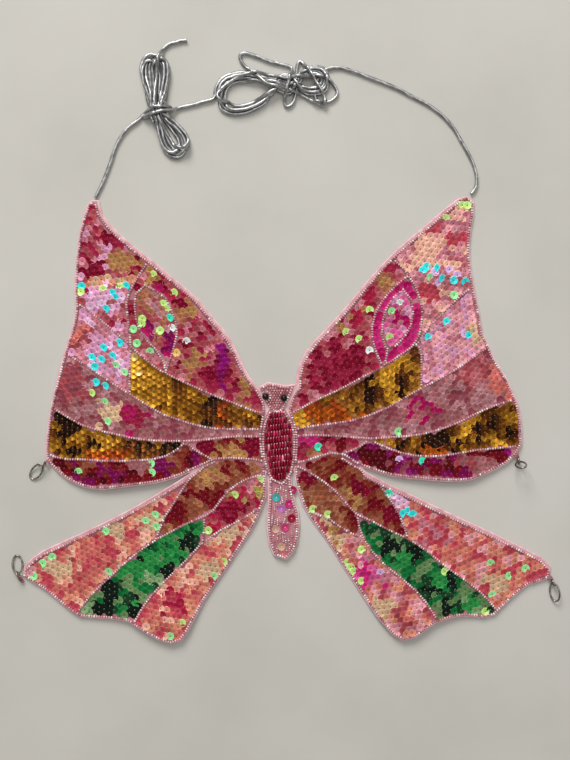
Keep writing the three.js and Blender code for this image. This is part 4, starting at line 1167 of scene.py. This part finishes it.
# Transparent crimson glass with a silver lining: dark magenta with bright pink glints.
crimson_glass = glass_finish(
    "silver_lined_crimson_bugle_glass", {"Roughness": 0.2, "Metallic": 0.5, "Specular IOR Level": 0.35}, 0.4
)
body = bead_piece(
    "body_bugle_beads", columns, np.column_stack([np.cos(upright), np.sin(upright)]), 1.85 + 1.5 * np.sin(np.minimum(far / 7, 1) * 1.57),
    ["#8c0424", "#a00c34", "#b42a4e", "#c04468", "#f09ab0"], [5, 5, 3, 1.5, 0.6], crimson_glass, bugle,
)
# Tiny pale beads at the bugles' top ends: their paleness is partly a painted highlight for the row glints.
row_ends = columns[far > 1.5] + np.array([0.0, BUGLE_LENGTH / 2])
row_ways = np.tile([1.0, 0.14], (len(row_ends), 1))
small_bead = (bead_points * 0.5, bead_faces)
row_height = 2.45 + 1.5 * np.sin(np.minimum(far[far > 1.5] / 7, 1) * 1.57)
bead_piece(
    "body_row_beads", row_ends, row_ways, row_height, ["#f0a8bc", "#d87890", "#ffe4ea"], [3, 2, 1.5],
    pearl_glass, small_bead
)
border_places, border_ways = thread_places(body_loops[:1], -1.25, BEAD_PITCH, 1.3)
bead_piece(
    "body_border_beads", border_places, border_ways, 1.9, BORDER_TONES, BORDER_SHARES, pearl_glass,
)
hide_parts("body_beads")

# ---------------------------------------------------------------- tail
# The tail is the bare pink cloth, edged with beads, with short strings of tiny pale beads
# stitched lengthwise and nine loose round sequins between them.
tail_loops = rims("tail_beads")
border_places, border_ways = thread_places(tail_loops[:1], BEAD / 2, BEAD_PITCH, 1.3)
tail_border = bead_piece(
    "tail_border_beads", border_places, border_ways, 1.85, BORDER_TONES, BORDER_SHARES, pearl_glass,
)
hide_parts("tail_beads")
TAIL_SEQUINS = [
    (-5.8, -46.3, "#3c9c9c"), (-2.7, -53.0, "#b06cae"), (1.9, -50.2, "#b0246c"), (4.0, -41.9, "#9c1c4c"), (3.4, -58.7, "#8c1230"),
    (-6.1, -65.2, "#c4988c"), (-0.5, -64.1, "#b83c6c"), (-2.7, -75.7, "#c4a088"),
    (-2.0, -80.1, "#c46a74"),
]
spots = np.array([(x, y) for x, y, _ in TAIL_SEQUINS])
loose_lean = np.column_stack([speckle.normal(0, 0.07, (len(spots), 2)), np.ones(len(spots))])
loose_lean /= np.linalg.norm(loose_lean, axis=1)[:, None]
side = np.cross(loose_lean, [0, 1.0, 0])
side /= np.linalg.norm(side, axis=1)[:, None]
tint = np.array([linear(c) for _, _, c in TAIL_SEQUINS])
stitch = np.tile(linear("#e8c4c8"), (len(spots), len(stitch_points), 1))
tail_discs = stamped(
    "tail_loose_discs", one_points, one_faces, np.column_stack([spots, np.full(len(spots), 1.5)]),
    np.stack([side, np.cross(loose_lean, side), loose_lean], axis=1),
    np.concatenate([np.repeat(tint[:, None], len(sequin_points), 1), stitch], 1), "sequin_tint",
)
tail_discs.data.materials.append(clear_film)
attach(tail_discs, "butterfly")
low, high = tail_loops[0].min(0), tail_loops[0].max(0)
strings, string_ways = [], []
for x in np.arange(low[0] + 2.4, high[0] - 1.5, 1.75):
    y = low[1] + speckle.uniform(1, 4)
    while y < high[1]:
        lean = speckle.normal(0, 0.12)
        for k in range(int(speckle.integers(4, 8))):
            strings.append((x + lean * k, y + 1.05 * k))
            string_ways.append((lean, 1.0))
        y += 1.05 * 7 + speckle.uniform(0.6, 3.0)
strings, string_ways = np.array(strings), np.array(string_ways)
far, _ = edge_distance(strings, tail_loops[:1])
clear = np.min(np.hypot(*(strings[:, None] - spots[None]).transpose(2, 0, 1)), axis=1) > 2.9
kept = inside(strings, tail_loops[:1]) & (far > 2.0) & clear
tiny = (bead_points * 0.68, bead_faces)
bead_piece(
    "tail_strung_beads", strings[kept], string_ways[kept], 1.6,
    ["#e8b4ba", "#f4d0d4", "#d08c94", "#fff6f4"], [4, 4, 2, 2.5], pearl_glass, tiny
)

# ---------------------------------------------------------------- wire rings
# Each lower corner has a small round ring sewn on, which stands up through its lashing, and an
# oval ring hanging in it. Both are bent from dark nickel-plated steel wire and closed.
def wire_ring(name, half_length, half_width, wire):
    """A smooth closed wire oval in the place and plane of a CAD ring, in metres."""
    corners = np.array([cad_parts[name].matrix_world @ v.co
    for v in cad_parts[name].data.vertices]) / MM
    _, _, axes = np.linalg.svd(corners - corners.mean(0), full_matrices=False)
    axes[2] = np.cross(axes[0], axes[1])
    sides, rounds = 16, 72
    points, faces = [], []
    for k in range(rounds):
        t = 2 * math.pi * k / rounds
        centre = half_length * math.cos(t) * axes[0] + half_width * math.sin(t) * axes[1]
        way = half_width * math.cos(t) * axes[0] + half_length * math.sin(t) * axes[1]
        way /= np.linalg.norm(way)
        for j in range(sides):
            a = 2 * math.pi * j / sides
            points.append(
                (corners.mean(0) + centre + wire / 2 * (math.cos(a) * way + math.sin(a) * axes[2])) * MM
            )
            faces.append(
                (k * sides + j, (k + 1) % rounds * sides + j, (k + 1) % rounds * sides + (j + 1) % sides, k * sides + (j + 1) % sides)
            )
    return mesh_piece(f"{name}_wire", points, faces)


# Nickel plate: a slightly warm dark mirror, dulled and cloudy in patches where it has rubbed.
nickel = new_material("dark_nickel_plated_wire")
spot = node(nickel, "ShaderNodeTexCoord")
rub = node(
    nickel, "ShaderNodeTexNoise", None, {"Scale": 500.0, "Detail": 4.0}, {"Vector": spot.outputs["Object"]}
)
nickel_colour = ramp(nickel, rub.outputs["Fac"], [(0.3, "#6e6862"), (0.5, "#98928a"), (0.7, "#bcb7ae")])
nickel_rough = node(
    nickel, "ShaderNodeMapRange", None, {"To Min": 0.16, "To Max": 0.42}, {"Value": rub.outputs["Fac"]}
)
surface(nickel, {"Metallic": 0.95}, {"Base Color": nickel_colour, "Roughness": nickel_rough.outputs[0]})
RING_SIZES = {"small": (2.2, 2.2, 1.0), "large": (5.45, 2.95, 1.1)}
for wing in WINGS:
    for size, (long, wide, wire) in RING_SIZES.items():
        ring = wire_ring(f"{wing}_{size}_ring", long, wide, wire)
        ring.data.materials.append(nickel)
        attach(ring, f"{wing}_{size}_ring")
        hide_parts(f"{wing}_{size}_ring")

# ---------------------------------------------------------------- ring lashings
# Six turns of doubled rose thread pass round the small ring's wire and down through the cloth's
# corner, side by side.
# Spun polyester thread: matt, with a slight twist; the twist's light and dark are painted into its
# colour as well as raised in its bump: painted light and shade.
thread_finish = new_material("rose_spun_polyester_thread")
spot = node(thread_finish, "ShaderNodeTexCoord")
twist = node(
    thread_finish, "ShaderNodeTexNoise", None, {"Scale": 1800.0, "Detail": 2.0},
    {"Vector": spot.outputs["Object"]}
)
# Painted light and shade: the twist noise that raises the thread also lightens it.
thread_colour = ramp(thread_finish, twist.outputs["Fac"], [(0.35, "#7c3c48"), (0.65, "#c07c86")])
thread_bump = node(
    thread_finish, "ShaderNodeBump", None, {"Strength": 0.5, "Distance": 0.0001},
    {"Height": twist.outputs["Fac"]}
)
surface(
    thread_finish, {"Roughness": 0.7, "Sheen Weight": 0.3},
    {"Base Color": thread_colour, "Normal": thread_bump.outputs[0]}
)


def tubes(name, lines, radius, sides):
    """Closed round tubes along lines of points in millimetres, as one mesh."""
    points, faces = [], []
    for line in lines:
        _, across, up = ring_frames(line)
        turn = np.arange(sides) * 2 * math.pi / sides
        rings = line[:, None] + radius * (
            across[:, None] * np.cos(turn)[None, :, None] + up[:, None] * np.sin(turn)[None, :, None]
        )
        start = len(points)
        points += list(rings.reshape(-1, 3) * MM)
        for k in range(len(line) - 1):
            a, b = start + k * sides, start + (k + 1) * sides
            faces += [(a + i, a + (i + 1) % sides, b + (i + 1) % sides, b + i) for i in range(sides)]
        end = start + (len(line) - 1) * sides
        faces += [tuple(start + i for i in reversed(range(sides))), tuple(end + i for i in range(sides))]
    return mesh_piece(name, points, faces)


for wing in WINGS:
    small_low, small_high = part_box(f"{wing}_small_ring")
    ring_middle = np.array((small_low + small_high) / 2)[:2] / MM
    lash_corners = np.array([v.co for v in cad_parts[f"{wing}_lashing"].data.vertices]) / MM
    out = ring_middle - lash_corners.mean(0)[:2]
    out /= np.linalg.norm(out)
    cross = np.array([-out[1], out[0]])
    wire_place = ring_middle - 2.2 * out
    loops = []
    for k in range(6):
        z, spread = 2.3 + 0.25 * k, -0.7 + 0.28 * k
        plan = [(0.95, 0, z), (0.6, 0.75, z), (0, 0.95, z), (-1.4, 0.6 + spread * 0.5, 0.5 * z + 1.2), (-2.6, spread, 1.9), (-3.3, spread, 1.2),
                (-2.6, spread * 0.8, 1.5), (-1.4, -0.6 + spread * 0.5, 0.5 * z + 0.9), (0, -0.95, z), (0.6, -0.75, z), (0.95, 0, z)]
        loops.append(smooth_line([[*(wire_place + a * out + b * cross), c] for a, b, c in plan], 0.3))
    lashing = tubes(f"{wing}_lashing_thread", loops, 0.2, 6)
    lashing.data.materials.append(thread_finish)
    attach(lashing, "butterfly")
    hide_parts(f"{wing}_lashing")
